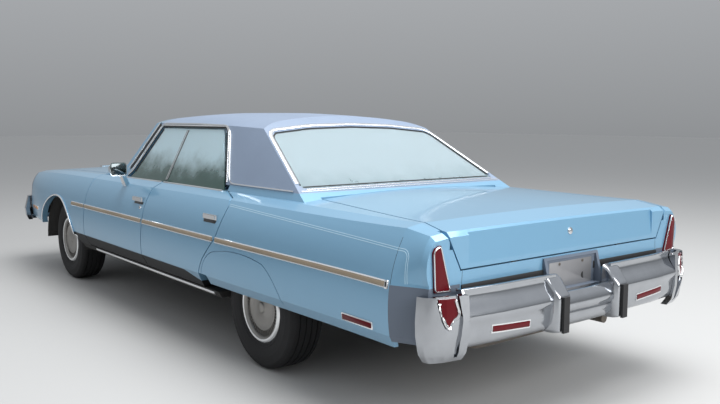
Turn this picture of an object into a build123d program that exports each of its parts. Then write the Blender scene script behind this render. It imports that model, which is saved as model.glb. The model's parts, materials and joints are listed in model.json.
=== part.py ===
"""A full-size four-door hardtop saloon of the middle 1970s, built as separate panels, glass,
bumpers, running gear and seats. X points forward, Y to the left, Z up, in millimetres.
The origin is on the ground, midway along the length and the width."""

import os
from math import copysign, cos, hypot, radians, sin

from build123d import *

os.makedirs("parts", exist_ok=True)

# Overall layout
LENGTH = 5911.0
FRONT_END_X = LENGTH / 2
REAR_END_X = -LENGTH / 2
NOSE_X = FRONT_END_X - 265.5
GRILLE_X = NOSE_X + 30.0
TAIL_X = REAR_END_X + 160.5
EXTENSION_X = TAIL_X + 165.0
CREST_X = TAIL_X + 26.0
WHEELBASE = 3150.0
FRONT_AXLE_X = 1735.0
REAR_AXLE_X = FRONT_AXLE_X - WHEELBASE

# Wheels
TYRE_R = 340.0
TYRE_WIDTH = 215.0
RIM_R = 196.0
WHEEL_CENTRE_Y = 800.0
KINGPIN_Y = 735.0

# Lower body sections, one row for each station along the length
# x, sill_y, bottom_z, tuck_y, tuck_z, wide_y, wide_z, hip_y, hip_z, mid_y, mid_z,
# shoulder_y, shoulder_z, belt_y, belt_z, crown_z
SECTIONS = [
    (GRILLE_X, 846, 335, 918, 468, 930, 560, 924, 700, 905, 793, 858, 860, 790, 878, 884),
    (2250, 898, 335, 978, 468, 988, 560, 972, 706, 940, 812, 888, 888, 820, 908, 925),
    (1250, 924, 335, 1002, 468, 1008, 560, 990, 712, 954, 826, 903, 905, 838, 933, 968),
    (0, 930, 335, 1004, 468, 1009, 560, 991, 712, 955, 829, 903, 911, 838, 945, 985),
    (-1300, 930, 335, 1004, 468, 1009, 560, 993, 712, 957, 829, 904, 914, 838, 946, 982),
    (EXTENSION_X, 926, 335, 998, 468, 1008, 560, 999, 708, 962, 824, 907, 922, 826, 936, 948),
]
# The fender tips and the deck lid roll over to the upright tail between these two stations
CREST_SECTION = (CREST_X, 884, 335, 934, 468, 942, 560, 936, 700, 942, 828, 900, 902, 812, 912, 918)
TAIL_SECTION = (TAIL_X, 880, 335, 930, 468, 938, 560, 930, 700, 936, 820, 896, 882, 802, 892, 896)

# Inward offsets of the inner skin at sill, tuck, wide, hip, mid, shoulder and belt,
# then the lift of mid, shoulder, belt and crown
PANEL_OFFSETS = ((40, 40, 40, 40, 40, 40, 40), (-10, -25, -25, -25))
DOOR_OFFSETS = ((140, 140, 140, 138, 128, 123, 70), (0, 60, 60, 60))

# Panel lines
GAP = 7.0
FRONT_GAP_X = 1068.0
MIDDLE_GAP_X = -55.0
HINGE_R = 80.0
HINGE_Y = 973.0
FRONT_HINGE_X = FRONT_GAP_X - HINGE_R
REAR_HINGE_X = MIDDLE_GAP_X - HINGE_R
PILLAR_X = 600.0
DOOR_TOP_Y = 826.0
HINGE_LEVELS = (480.0, 670.0)
STRAP_SPACE = 14.0
PIN_R = 9.0
PIN_FIT = 0.05
POST_Y = 775.0
DOOR_BOTTOM_Z = 380.0
SILL_TOP_Z = 372.0
REAR_EDGE_Z = 417.0
FENDER_NOSE_Z = 440.0
TAIL_EDGE_Z = 445.0
ARCH_X = FRONT_AXLE_X + 35.0
ARCH_Z = 215.0
ARCH_R = 503.0
LIP_PROUD = 6.0
LIP_W = 16.0

# The skirt's seam round the rear wheel opening, as arcs of x and z from front to rear
SKIRT_ARCS = [
    ((REAR_AXLE_X + 483, 400), (REAR_AXLE_X + 442, 544), (REAR_AXLE_X + 308, 623)),
    ((REAR_AXLE_X + 308, 623), (REAR_AXLE_X + 31, 646), (REAR_AXLE_X - 197, 622)),
    ((REAR_AXLE_X - 197, 622), (REAR_AXLE_X - 307, 543), (REAR_AXLE_X - 395, 400)),
]
SEAM_W = 4.0
SEAM_DEPTH = 8.0

# The rear door's trailing edge, x and z from the belt to the sill
REAR_DOOR_EDGE = [
    (-960, 1010), (-963, 946), (-1027, 934), (-1105, 920), (-1134, 880), (-1129, 829),
    (-1113, 767), (-1088, 703), (-1021, 632), (-951, 559), (-907, 489), (-885, 430),
    (-877, DOOR_BOTTOM_Z),
]

# Flat lifting pads under the sills
JACK_PAD_XS = (850.0, -800.0)
JACK_PAD_Y = 870.0
JACK_PAD_Z = 325.0
SILL_REAR_X = REAR_AXLE_X + 365.0
SILL_FRONT_X = 1270.0

# Floor, walls and rails
FLOOR_LOW_Z = 300.0
FLOOR_TOP_Z = 322.0
FLOOR_REAR_X = REAR_AXLE_X + 355.0
KICK_X = REAR_AXLE_X + 305.0
FIREWALL_X = 1130.0
SHEET_T = 20.0
REAR_FLOOR_Z = 480.0
TUNNEL_Y = 150.0
TUNNEL_IN_Y = 128.0
HOUSE_FRONT_X = REAR_AXLE_X + 395.0
HOUSE_REAR_X = REAR_AXLE_X - 385.0
HOUSE_Y = 640.0
HOUSE_TOP_Z = 755.0
HOUSE_T = 15.0
RAIL_REAR_X = TAIL_X + 55.0
RAIL_FRONT_X = NOSE_X + 60.0

# Hood and deck lid
HOOD_REAR_X = 1040.0
HOOD_FRONT_X = NOSE_X - 6.0
HOOD_Y = 768.0
HOOD_T = 22.0
LID_FRONT_X = -1700.0
LID_FRONT_Y = 676.0
LID_REAR_Y = 812.0
LID_LOW_Y = 745.0
LID_LOW_Z = 752.0
LID_T = 25.0
WALL_T = 28.0
TRIM_Z = 690.0
FACE_LOW_Z = 772.0
FACE_DEEP = 17.0
FACE_Y = 700.0

# Greenhouse plan outlines, one row for each level
# z, front_centre_x, front_corner_x, front_corner_y, rear_corner_x, rear_corner_y, rear_centre_x
GLASSHOUSE_LOW = (930.0, 1018.0, 812.0, 806.0, -1745.0, 812.0, -1760.0)
GLASSHOUSE_HIGH = (1420.0, 505.0, 392.0, 612.0, -905.0, 612.0, -920.0)
SIDE_BULGE = 30.0
SLANT_FRONT = 1.4
SLANT_REAR = 2.0
SLANT_SIDE = 1.07

# Roof sections: x, crown_z at the middle, knee_z at KNEE_Y, edge_z at EDGE_Y
ROOF_SECTIONS = [
    (1100.0, 1340.0, 1318.0, 1268.0),
    (350.0, 1413.0, 1387.0, 1330.0),
    (-350.0, 1423.0, 1396.0, 1336.0),
    (-1000.0, 1397.0, 1369.0, 1309.0),
    (-1900.0, 1325.0, 1296.0, 1236.0),
]
KNEE_Y = 470.0
EDGE_Y = 690.0
ROOF_T = 32.0
GLASS_IN = 7.0
GLASS_T = 6.0
SEAT_FIT = 0.4
VINYL_EDGE_Z = 985.0
MIRROR_X = 302.0

# Window outlines in side view, x and z
SIDE_OPENING = [(625, 940), (556, 985), (290, 1319), (-655, 1319), (-680, 1290), (-905, 948), (-905, 930)]
FRONT_GLASS = [(580, 905), (580, 950), (540, 988), (288, 1310), (-134, 1310), (-62, 956), (-32, 950), (-32, 905)]
REAR_GLASS = [(-71, 905), (-71, 955), (-143, 1310), (-628, 1310), (-648, 1285), (-889, 950), (-889, 905)]
# Windscreen and backlight outlines in front view, y and z, left half from the top
WINDSCREEN = [(0, 1356), (400, 1350), (598, 1322), (735, 978), (0, 990)]
BACKLIGHT = [(0, 1334), (330, 1325), (600, 1300), (638, 1278), (748, 1022), (736, 1006), (0, 1008)]

# Bumpers: half plans of the face, one row for each point: x, y, degrees turned from the car's end
BUMPER_T = 35.0
REAR_BUMPER = [
    (REAR_END_X + 33, 0, 0), (REAR_END_X + 43, 600, 3), (REAR_END_X + 62, 790, 10),
    (REAR_END_X + 84, 900, 34), (REAR_END_X + 112, 954, 60), (REAR_END_X + 144, 983, 84),
    (REAR_END_X + 180, 988, 90),
]
FRONT_BUMPER = [
    (FRONT_END_X - 30, 0, 0), (FRONT_END_X - 40, 600, 3), (FRONT_END_X - 70, 860, 20),
    (FRONT_END_X - 104, 938, 52), (FRONT_END_X - 160, 978, 80), (FRONT_END_X - 228, 985, 90),
]
# Level and inward lean of the face, from the lower edge up
REAR_BAR_LEVELS = [(428, 26), (470, 12), (556, 0), (681, 40)]
REAR_CAP_LEVELS = [(384, 44), (420, 18), (500, 2), (560, 0), (664, 8)]
FRONT_LEVELS = [(412, 26), (450, 8), (520, 0), (641, 30)]
CAP_Y = 790.0
CAP_HOLLOW_DEEP = 14.0
LENS_SUNK = 5.0
LENS_RIDGE_Y = 884.0
CAP_HOLLOW = [
    (936, 700), (934, 640), (920, 567), (892, 503), (842, 404), (828, 404), (830, 470), (822, 572), (843, 700),
]
LOWER_LAMP = [(924, 656), (922, 640), (909, 570), (898, 545), (884, 530), (872, 556), (834, 588), (852, 656)]
UPPER_LAMP = [(906, 672), (916, 840), (906, 856), (876, 866), (812, 667)]
LAMP_DEEP = 20.0
LAMP_FIT = 0.4
GUARD_Y = 229.0
GUARD_W = 92.0
GUARD_X = REAR_END_X + 12.5
GUARD_BACK_X = GUARD_X + 45.0
FRONT_GUARD_X = FRONT_END_X - 12.5
FRONT_GUARD_BACK_X = FRONT_GUARD_X - 45.0

# Number plate housing
PLATE_Y = 208.0
PLATE_TOP_Z = 738.0
PLATE_LOW_Z = 574.0
PLATE_DEEP = 44.0
PLATE_HOLES = 178.0
PLATE_HOLE_Z = 700.0

# Grille and headlamp covers
GRILLE_Y = 226.0
GRILLE_LOW_Z = 606.0
GRILLE_TOP_Z = 896.0
GRILLE_BARS = 17
GRILLE_PITCH = 25.0
COVER_INNER_Y = 290.0
COVER_OUTER_Y = 790.0


def block(x0, x1, y0, y1, z0, z1):
    return Pos((x0 + x1) / 2, (y0 + y1) / 2, (z0 + z1) / 2) * Box(x1 - x0, y1 - y0, z1 - z0)


def right(shape):
    return mirror(shape, about=Plane.XZ)


def both(shape):
    return shape + right(shape)


def plan_prism(points, z0, z1):
    return extrude(Plane.XY.offset(z0) * make_face(Polyline(*points, close=True)), z1 - z0)


def side_prism(points, y0, y1, grow=0.0):
    """A polygon of x and z, extruded across the car from y0 to y1."""
    face = make_face(Polyline(*points, close=True))
    if grow:
        face = offset(face, grow, kind=Kind.INTERSECTION)
    plane = Plane(origin=(0, y1, 0), x_dir=(1, 0, 0), z_dir=(0, -1, 0))
    return extrude(plane * face, y1 - y0)


def end_prism(points, x0, x1, grow=0.0):
    """A polygon of y and z, extruded along the car from x0 to x1."""
    face = make_face(Polyline(*points, close=True))
    if grow:
        face = offset(face, grow, kind=Kind.INTERSECTION)
    plane = Plane(origin=(x0, 0, 0), x_dir=(0, 1, 0), z_dir=(1, 0, 0))
    return extrude(plane * face, x1 - x0)


def front_prism(half, x0, x1, grow=0.0):
    """A left half outline of y and z, mirrored and extruded along the car from x0 to x1."""
    mirrored = [(-y, z) for y, z in reversed(half) if y > 0]
    return end_prism([*half, *mirrored], x0, x1, grow)


def upright(x, y, r, z0, z1):
    return Pos(x, y, (z0 + z1) / 2) * Cylinder(r, z1 - z0)


def crosswise(x, z, r, y0, y1):
    return Pos(x, (y0 + y1) / 2, z) * Rot(90, 0, 0) * Cylinder(r, y1 - y0)


def lengthwise(y, z, r, x0, x1):
    return Pos((x0 + x1) / 2, y, z) * Rot(0, 90, 0) * Cylinder(r, x1 - x0)


def body_section(row, offsets):
    """The left half of the body's section at one station."""
    (x, sill_y, bottom_z, tuck_y, tuck_z, wide_y, wide_z, hip_y, hip_z, mid_y, mid_z,
     shoulder_y, shoulder_z, belt_y, belt_z, crown_z) = row
    (d_sill, d_tuck, d_wide, d_hip, d_mid, d_shoulder, d_belt), lift = offsets
    low = bottom_z if d_sill == 0 else bottom_z - 200
    belt = (belt_y - d_belt, belt_z + lift[2])
    top = crown_z + lift[3]
    crown_mid = (belt[0] / 2, belt[1] + 0.75 * (top - belt[1]))
    outline = (
        Line((0, low), (sill_y - d_sill, low))
        + Line((sill_y - d_sill, low), (tuck_y - d_tuck, tuck_z))
        + ThreePointArc((tuck_y - d_tuck, tuck_z), (wide_y - d_wide, wide_z), (hip_y - d_hip, hip_z))
        + ThreePointArc(
            (hip_y - d_hip, hip_z),
            (mid_y - d_mid, mid_z + lift[0]),
            (shoulder_y - d_shoulder, shoulder_z + lift[1]),
        )
        + Line((shoulder_y - d_shoulder, shoulder_z + lift[1]), belt)
        + ThreePointArc(belt, crown_mid, (0, top))
        + Line((0, top), (0, low))
    )
    return Plane(origin=(x, 0, 0), x_dir=(0, 1, 0), z_dir=(1, 0, 0)) * make_face(outline)


def body_half(offsets=((0,) * 7, (0,) * 4)):
    main = loft([body_section(row, offsets) for row in SECTIONS])
    tail_rows = (SECTIONS[-1], CREST_SECTION, TAIL_SECTION)
    tail = loft([body_section(row, offsets) for row in tail_rows], ruled=True)
    return main, tail


def glasshouse_outline(z, inset):
    """The greenhouse in plan at level z, moved inward by inset, square to the glass."""
    share = (z - GLASSHOUSE_LOW[0]) / (GLASSHOUSE_HIGH[0] - GLASSHOUSE_LOW[0])
    level = [low + share * (high - low) for low, high in zip(GLASSHOUSE_LOW, GLASSHOUSE_HIGH)]
    front_centre = level[1] - inset * SLANT_FRONT
    front_x = level[2] - inset * SLANT_FRONT
    front_y = level[3] - inset * SLANT_SIDE
    rear_x = level[4] + inset * SLANT_REAR
    rear_y = level[5] - inset * SLANT_SIDE
    rear_centre = level[6] + inset * SLANT_REAR
    middle_x = (front_x + rear_x) / 2
    middle_y = (front_y + rear_y) / 2 + SIDE_BULGE
    outline = (
        ThreePointArc((front_x, front_y), (middle_x, middle_y), (rear_x, rear_y))
        + ThreePointArc((rear_x, rear_y), (rear_centre, 0), (rear_x, -rear_y))
        + ThreePointArc((rear_x, -rear_y), (middle_x, -middle_y), (front_x, -front_y))
        + ThreePointArc((front_x, -front_y), (front_centre, 0), (front_x, front_y))
    )
    return Plane.XY.offset(z) * make_face(outline)


def glasshouse(inset):
    return loft([glasshouse_outline(840, inset), glasshouse_outline(1420, inset)], ruled=True)


def roof_dome(drop):
    sections = []
    for x, crown_z, knee_z, edge_z in ROOF_SECTIONS:
        crown, knee, edge = crown_z - drop, knee_z - drop, edge_z - drop
        shoulder = ((KNEE_Y + EDGE_Y) / 2, knee - 0.32 * (knee - edge))
        outline = (
            ThreePointArc((-KNEE_Y, knee), (0, crown), (KNEE_Y, knee))
            + ThreePointArc((KNEE_Y, knee), shoulder, (EDGE_Y, edge))
            + Line((EDGE_Y, edge), (950, edge - 200))
            + Line((950, edge - 200), (950, 700))
            + Line((950, 700), (-950, 700))
            + Line((-950, 700), (-950, edge - 200))
            + Line((-950, edge - 200), (-EDGE_Y, edge))
            + ThreePointArc((-EDGE_Y, edge), (-shoulder[0], shoulder[1]), (-KNEE_Y, knee))
        )
        plane = Plane(origin=(x, 0, 0), x_dir=(0, 1, 0), z_dir=(1, 0, 0))
        sections.append(plane * make_face(outline))
    return loft(sections)


def swing(hinge_x, edge, grow):
    """Everything that a door's panel may fill without leaving its own swept space.
    The trailing edge is turned about the hinge, and the front edge is a roll round it."""
    edge_face = make_face(Polyline((hinge_x, 1010), *edge, (hinge_x, edge[-1][1]), close=True))
    if grow:
        edge_face = offset(edge_face, grow, kind=Kind.INTERSECTION)
        edge_face = edge_face & Pos(hinge_x - 1500, 700) * Rectangle(3000, 2000)
    plane = Plane(origin=(0, HINGE_Y, 0), x_dir=(1, 0, 0), z_dir=(0, -1, 0))
    turned = revolve(plane * edge_face, Axis((hinge_x, HINGE_Y, 0), (0, 0, 1)), 360)
    low = edge[-1][1] - grow
    turned = turned & block(hinge_x - 1400, hinge_x, 500, 1100, 200, 1100)
    front = block(hinge_x - 1, hinge_x + HINGE_R + grow, 600, HINGE_Y, low, 1010)
    return turned + front + upright(hinge_x, HINGE_Y, HINGE_R + grow, low, 1010)


# Outer and inner skins of the left half
main_outer, tail_outer = body_half()
main_inner, tail_inner = body_half(PANEL_OFFSETS)
door_inner, _ = body_half(DOOR_OFFSETS)
main_shell = main_outer - main_inner
tail_shell = tail_outer - tail_inner

# Doors
front_edge = [(MIDDLE_GAP_X + GAP, 1010), (MIDDLE_GAP_X + GAP, DOOR_BOTTOM_Z)]
front_space = swing(FRONT_HINGE_X, front_edge, 0)
lip = block(MIDDLE_GAP_X - 20, MIDDLE_GAP_X + 60, HINGE_Y, 1020, DOOR_BOTTOM_Z, 1010)
lip = lip - upright(REAR_HINGE_X, HINGE_Y, HINGE_R + GAP, 300, 1100)
front_space = front_space + lip
rear_space = swing(REAR_HINGE_X, REAR_DOOR_EDGE, 0)
rear_cut = swing(REAR_HINGE_X, REAR_DOOR_EDGE, GAP)
door_shell = (main_outer - door_inner) & block(-1400, 1300, 500, 1100, DOOR_BOTTOM_Z, 1000)

glass_outer = glasshouse(GLASS_IN) & roof_dome(GLASS_IN)
glass_inner = glasshouse(GLASS_IN + GLASS_T)
glass_skin = glass_outer - glass_inner
slot_skin = glasshouse(GLASS_IN - SEAT_FIT) - glasshouse(GLASS_IN + GLASS_T + SEAT_FIT)
slots = {}
door_glass = {}
for name, outline in (("front", FRONT_GLASS), ("rear", REAR_GLASS)):
    door_glass[name] = glass_skin & side_prism(outline, 400, 1000)
    slots[name] = slot_skin & side_prism(outline, 400, 1000, grow=SEAT_FIT)


def hinge_pocket(hinge_x):
    """The hollow in a door's front edge for its two hinge straps, with the holes for their pins."""
    hollow = Part()
    for z in HINGE_LEVELS:
        hollow = hollow + block(
            hinge_x - STRAP_SPACE, hinge_x + HINGE_R + 5, 700, HINGE_Y + STRAP_SPACE, z - 14, z + 14
        )
        hollow = hollow + upright(hinge_x, HINGE_Y, PIN_R + PIN_FIT, z - 40, z + 40)
    return hollow


def hinge_straps(hinge_x):
    """The straps and pins that stand out from a door post."""
    straps = Part()
    for z in HINGE_LEVELS:
        straps = straps + block(hinge_x - 10, hinge_x + 10, POST_Y, HINGE_Y + 8, z - 6, z + 6)
        straps = straps + upright(hinge_x, HINGE_Y, PIN_R, z - 38, z + 38)
    return straps


pillar_room = block(PILLAR_X, FRONT_GAP_X + GAP, 0, DOOR_TOP_Y, 880, 1100)
doors = {
    "front": (door_shell & front_space) - slots["front"] - hinge_pocket(FRONT_HINGE_X) - pillar_room,
    "rear": (door_shell & rear_space) - slots["rear"] - hinge_pocket(REAR_HINGE_X),
}


def door_handle(x, z):
    plate = block(x - 82, x + 82, 930, 975, z - 15, z + 15)
    bar = block(x - 70, x + 70, 960, 984, z - 11, z + 11)
    return plate + bar - main_outer


# Door mirror: a head that tapers forward, on a short slanted stem
mirror_back = Plane(origin=(MIRROR_X, 1007, 1021), x_dir=(0, 1, 0), z_dir=(1, 0, 0)) * RectangleRounded(122, 96, 24)
mirror_nose = Plane(origin=(MIRROR_X + 92, 1005, 1016), x_dir=(0, 1, 0), z_dir=(1, 0, 0)) * RectangleRounded(84, 62, 22)
mirror_head = loft([mirror_back, mirror_nose], ruled=True)
stem_foot = Plane.XY.offset(890) * Pos(MIRROR_X + 118, 900) * Rectangle(70, 40)
stem_top = Plane.XY.offset(1000) * Pos(MIRROR_X + 52, 972) * Rectangle(46, 22)
mirror_stem = loft([stem_foot, stem_top], ruled=True) - main_outer
handles = {
    "front": door_handle(58, 829),
    "rear": door_handle(-994, 812),
}

# Front fenders
arch = crosswise(ARCH_X, ARCH_Z, ARCH_R, 0, 1100)
fender = main_shell & block(FRONT_HINGE_X + 12, NOSE_X, HOOD_Y + GAP, 1100, 200, 1000)
fender = fender - block(900, FRONT_GAP_X + GAP, 500, HINGE_Y, 200, 1100)
fender = fender - upright(FRONT_HINGE_X, HINGE_Y, HINGE_R + GAP, 200, 1100)
fender = fender - arch
proud_outer, _ = body_half(((-LIP_PROUD,) * 7, (0,) * 4))
arch_lip = (proud_outer - main_inner) & (crosswise(ARCH_X, ARCH_Z, ARCH_R + LIP_W, 800, 1100) - arch)
fender = fender + (arch_lip & block(ARCH_X - ARCH_R, ARCH_X + ARCH_R, 800, 1100, FENDER_NOSE_Z, 800))
fender = fender - block(900, ARCH_X, 500, 1100, 200, SILL_TOP_Z)
fender = fender - block(ARCH_X, 2800, 500, 1100, 200, FENDER_NOSE_Z)

# Rear quarters
lid_plan = [
    (LID_FRONT_X, -LID_FRONT_Y), (LID_FRONT_X, LID_FRONT_Y), (-2740, LID_REAR_Y),
    (-2900, LID_REAR_Y - 10), (-2900, 10 - LID_REAR_Y), (-2740, -LID_REAR_Y),
]
lid_space = plan_prism(lid_plan, 860, 1100)
lid_cut = plan_prism(
    [
        (LID_FRONT_X + GAP, -LID_FRONT_Y - GAP), (LID_FRONT_X + GAP, LID_FRONT_Y + GAP),
        (-2740, LID_REAR_Y + GAP), (-2900, LID_REAR_Y + GAP - 10),
        (-2900, 10 - GAP - LID_REAR_Y), (-2740, -LID_REAR_Y - GAP),
    ],
    840, 1100,
)
lid_face = [(0, 1100), (900, 1100), (826, 908), (LID_LOW_Y, LID_LOW_Z), (0, LID_LOW_Z)]
lid_cut = lid_cut + front_prism(lid_face, -2900, -2740, grow=GAP)
quarter = main_shell & block(EXTENSION_X, -860, LID_FRONT_Y + GAP, 1100, REAR_EDGE_Z, 1000)
quarter = quarter + (tail_shell & block(TAIL_X, EXTENSION_X, 600, 1100, TRIM_Z, 1000))
quarter = quarter + (tail_outer & block(TAIL_X, TAIL_X + WALL_T, LID_LOW_Y + GAP, 1100, TRIM_Z, 1000))
quarter = quarter - rear_cut - lid_cut
quarter = quarter - glasshouse(ROOF_T)
quarter = quarter - block(-1000, -860, 300, 1100, 200, 470)
arcs = [ThreePointArc(*arc) for arc in SKIRT_ARCS]
skirt_face = make_face(Wire(arcs + [Line(SKIRT_ARCS[-1][-1], SKIRT_ARCS[0][0])]))
seam_face = offset(skirt_face, SEAM_W) - skirt_face
seam_plane = Plane(origin=(0, 1100, 0), x_dir=(1, 0, 0), z_dir=(0, -1, 0))
seam_floor, _ = body_half(((SEAM_DEPTH,) * 7, (0,) * 4))
quarter = quarter - (extrude(seam_plane * seam_face, 300) - seam_floor)
lamp_pocket = end_prism(UPPER_LAMP, TAIL_X - 10, TAIL_X + LAMP_DEEP, grow=LAMP_FIT)
quarter = quarter - lamp_pocket

# Roof with its sail panels, and the windscreen frame
house_outer = glasshouse(0) & roof_dome(0)
house_inner = glasshouse(ROOF_T) & roof_dome(ROOF_T)
house_shell = house_outer - house_inner
house_shell = house_shell - both(side_prism(SIDE_OPENING, 300, 1000))
house_shell = house_shell - front_prism(WINDSCREEN, 300, 1200)
house_shell = house_shell - front_prism(BACKLIGHT, -1900, -900)
roof_side = [
    (445, 1500), (335, 1322), (270, 1300), (-700, 1290), (-950, 900), (-3000, 900), (-3000, 1500),
]
above = house_shell - both(main_outer)
roof_zone = side_prism(roof_side, -1000, 1000)
roof = above & roof_zone & block(-2000, 1000, -900, 900, VINYL_EDGE_Z, 1500)
windscreen_frame = (above - roof_zone) & block(0, 1200, -900, 900, 900, 1500)
sail_base = above & block(-1740, -945, -900, 900, 900, VINYL_EDGE_Z)
quarter = quarter + (sail_base & block(-1740, -945, LID_FRONT_Y + GAP, 900, 900, 1000))
door_sweep = hypot(FRONT_GAP_X - FRONT_HINGE_X, HINGE_Y - DOOR_TOP_Y)
cowl = main_shell & block(PILLAR_X + GAP, HOOD_REAR_X - GAP, 0, DOOR_TOP_Y - GAP, 860, 1000)
cowl = both(cowl - upright(FRONT_HINGE_X, HINGE_Y, door_sweep + GAP, 800, 1100)) - glasshouse(ROOF_T)
windscreen_frame = windscreen_frame + cowl

# Windscreen and backlight
windscreen = glass_skin & front_prism(WINDSCREEN, 300, 1200, grow=-SEAT_FIT)
rear_window = glass_skin & front_prism(BACKLIGHT, -1900, -900, grow=-SEAT_FIT)

# Hood and deck lid
hood_inner, _ = body_half(((-5,) * 7, (-HOOD_T,) * 4))
hood = both((main_outer - hood_inner) & block(HOOD_REAR_X, HOOD_FRONT_X, 0, HOOD_Y, 700, 1100))
lid_main_inner, lid_tail_inner = body_half(((-5,) * 7, (-LID_T,) * 4))
lid_half = (main_outer - lid_main_inner) + (tail_outer - (lid_tail_inner & block(TAIL_X + WALL_T, 0, 0, 1100, 0, 1100)))
lid_half = lid_half & block(TAIL_X, LID_FRONT_X, 0, 900, LID_LOW_Z, 1000)
lid_half = lid_half & (lid_space + block(TAIL_X, -2740, 0, LID_REAR_Y, LID_LOW_Z, 900))
lid_half = lid_half & (front_prism(lid_face, TAIL_X, -2740) + block(-2740, LID_FRONT_X, 0, 900, 860, 1000))
face_hollow = side_prism(
    [(TAIL_X - 10, FACE_LOW_Z), (TAIL_X, FACE_LOW_Z), (TAIL_X + FACE_DEEP, 940), (TAIL_X - 10, 940)],
    0, FACE_Y,
)
lid = both(lid_half - face_hollow)

# Tail panel and the strip between the backlight and the deck lid
lid_rest = both(block(TAIL_X + 5, TAIL_X + 23, 380, 420, LID_LOW_Z - GAP - 1, LID_LOW_Z))
rear_wall_y = LID_LOW_Y + GAP
tail_panel = block(TAIL_X, TAIL_X + WALL_T, -rear_wall_y, rear_wall_y, 560, LID_LOW_Z - GAP) + lid_rest
strip = both(main_shell & block(LID_FRONT_X + GAP, -1600, 0, LID_FRONT_Y + GAP, 900, 1000))
strip = strip + (above & block(LID_FRONT_X + GAP, -1560, -LID_FRONT_Y - GAP, LID_FRONT_Y + GAP, 900, VINYL_EDGE_Z + 30))
strip = strip - glasshouse(ROOF_T) - roof
filler = tail_shell & block(TAIL_X, EXTENSION_X, 700, 1100, TAIL_EDGE_Z, TRIM_Z)
filler = filler + (tail_outer & block(TAIL_X, TAIL_X + WALL_T, rear_wall_y, 1100, TAIL_EDGE_Z, TRIM_Z))
nose_filler = main_shell & block(NOSE_X, GRILLE_X, 800, 1100, FENDER_NOSE_Z, 1000)
filler_panels = both(filler - lamp_pocket) + both(nose_filler)
plate_rim = [
    (TAIL_X, PLATE_TOP_Z), (TAIL_X - 8, PLATE_TOP_Z), (TAIL_X - PLATE_DEEP, PLATE_LOW_Z + 26),
    (TAIL_X - PLATE_DEEP, PLATE_LOW_Z), (TAIL_X, PLATE_LOW_Z),
]
plate_recess = side_prism(plate_rim, -PLATE_Y, PLATE_Y)
plate_recess = plate_recess - block(
    TAIL_X - PLATE_DEEP - 10, TAIL_X - 4, 18 - PLATE_Y, PLATE_Y - 18, PLATE_LOW_Z + 14, PLATE_TOP_Z - 12
)
for side in (-PLATE_HOLES / 2, PLATE_HOLES / 2):
    plate_recess = plate_recess - lengthwise(side, PLATE_HOLE_Z, 3.2, TAIL_X - 20, TAIL_X + 5)

# Nose
header = both(main_outer & block(NOSE_X, GRILLE_X, 0, 800, 560, 1000))
header = header - block(NOSE_X - 10, GRILLE_X + 10, 25 - GRILLE_Y, GRILLE_Y - 25, 550, 1000)
grille = block(GRILLE_X, GRILLE_X + 66, -GRILLE_Y - 10, GRILLE_Y + 10, GRILLE_LOW_Z - 10, GRILLE_TOP_Z + 10)
grille = grille - block(GRILLE_X + 20, GRILLE_X + 70, 6 - GRILLE_Y, GRILLE_Y - 6, GRILLE_LOW_Z + 4, GRILLE_TOP_Z - 6)
for bar in range(GRILLE_BARS):
    bar_y = (bar - (GRILLE_BARS - 1) / 2) * GRILLE_PITCH
    grille = grille + block(GRILLE_X + 18, GRILLE_X + 58, bar_y - 4, bar_y + 4, GRILLE_LOW_Z, GRILLE_TOP_Z)
cover = block(GRILLE_X, GRILLE_X + 18, COVER_INNER_Y, COVER_OUTER_Y, 655, 800)
for rib_z in range(678, 790, 20):
    cover = cover + block(GRILLE_X + 18, GRILLE_X + 23, COVER_INNER_Y + 14, COVER_OUTER_Y - 14, rib_z - 4, rib_z + 4)
grille = grille + both(cover)
front_lamps = both(block(GRILLE_X, GRILLE_X + 22, COVER_OUTER_Y + 10, 880, 640, 810))

# Upper tail lamps, let into the quarters, with lenses folded along an upright ridge
lens_plan = [
    (TAIL_X + LAMP_DEEP, 700), (TAIL_X + LAMP_DEEP, 1000), (TAIL_X - 2, 1000),
    (TAIL_X - 12, LENS_RIDGE_Y), (TAIL_X - 2, 700),
]
upper_lens = end_prism(UPPER_LAMP, TAIL_X - 20, TAIL_X + LAMP_DEEP) & plan_prism(lens_plan, 600, 900)


def bumper_ring(plan, inset, thickness, z):
    """A bumper's section at one level: the outer line moved inward by inset, and its inner line."""
    outer = []
    inner = []
    for x, y, turn in plan:
        along = -copysign(cos(radians(turn)), x)
        across = sin(radians(turn))
        outer.append((x + along * inset, y - across * inset))
        inner.append((x + along * (inset + thickness), y - across * (inset + thickness)))
    return Plane.XY.offset(z) * make_face(Polyline(*outer, *reversed(inner), close=True))


def bumper_bar(plan, levels, sunk=0.0, thickness=BUMPER_T):
    return loft([bumper_ring(plan, inset + sunk, thickness, z) for z, inset in levels], ruled=True)


# Bumpers. The rear one has end caps with a hollow for the lower tail lamp.
rear_bar = bumper_bar(REAR_BUMPER, REAR_BAR_LEVELS) & block(-3100, -2400, 0, CAP_Y + 10, 300, 800)
cap_space = block(-3100, -2400, CAP_Y, 1100, 300, 800)
cap_core = bumper_bar(REAR_BUMPER, REAR_CAP_LEVELS, sunk=CAP_HOLLOW_DEEP)
cap_hollow = end_prism(CAP_HOLLOW, -3100, -2800) - cap_core
rear_cap = (bumper_bar(REAR_BUMPER, REAR_CAP_LEVELS) & cap_space) - cap_hollow
lower_lens = bumper_bar(REAR_BUMPER, REAR_CAP_LEVELS, sunk=LENS_SUNK, thickness=CAP_HOLLOW_DEEP - LENS_SUNK - LAMP_FIT)
lower_lens = lower_lens & end_prism(LOWER_LAMP, -3100, -2800)
tail_lamps = both(upper_lens) + both(lower_lens)
rear_guard = side_prism(
    [(GUARD_BACK_X, 606), (GUARD_X, 590), (GUARD_X, 420), (GUARD_BACK_X, 398)],
    GUARD_Y - GUARD_W / 2, GUARD_Y + GUARD_W / 2,
)
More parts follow.
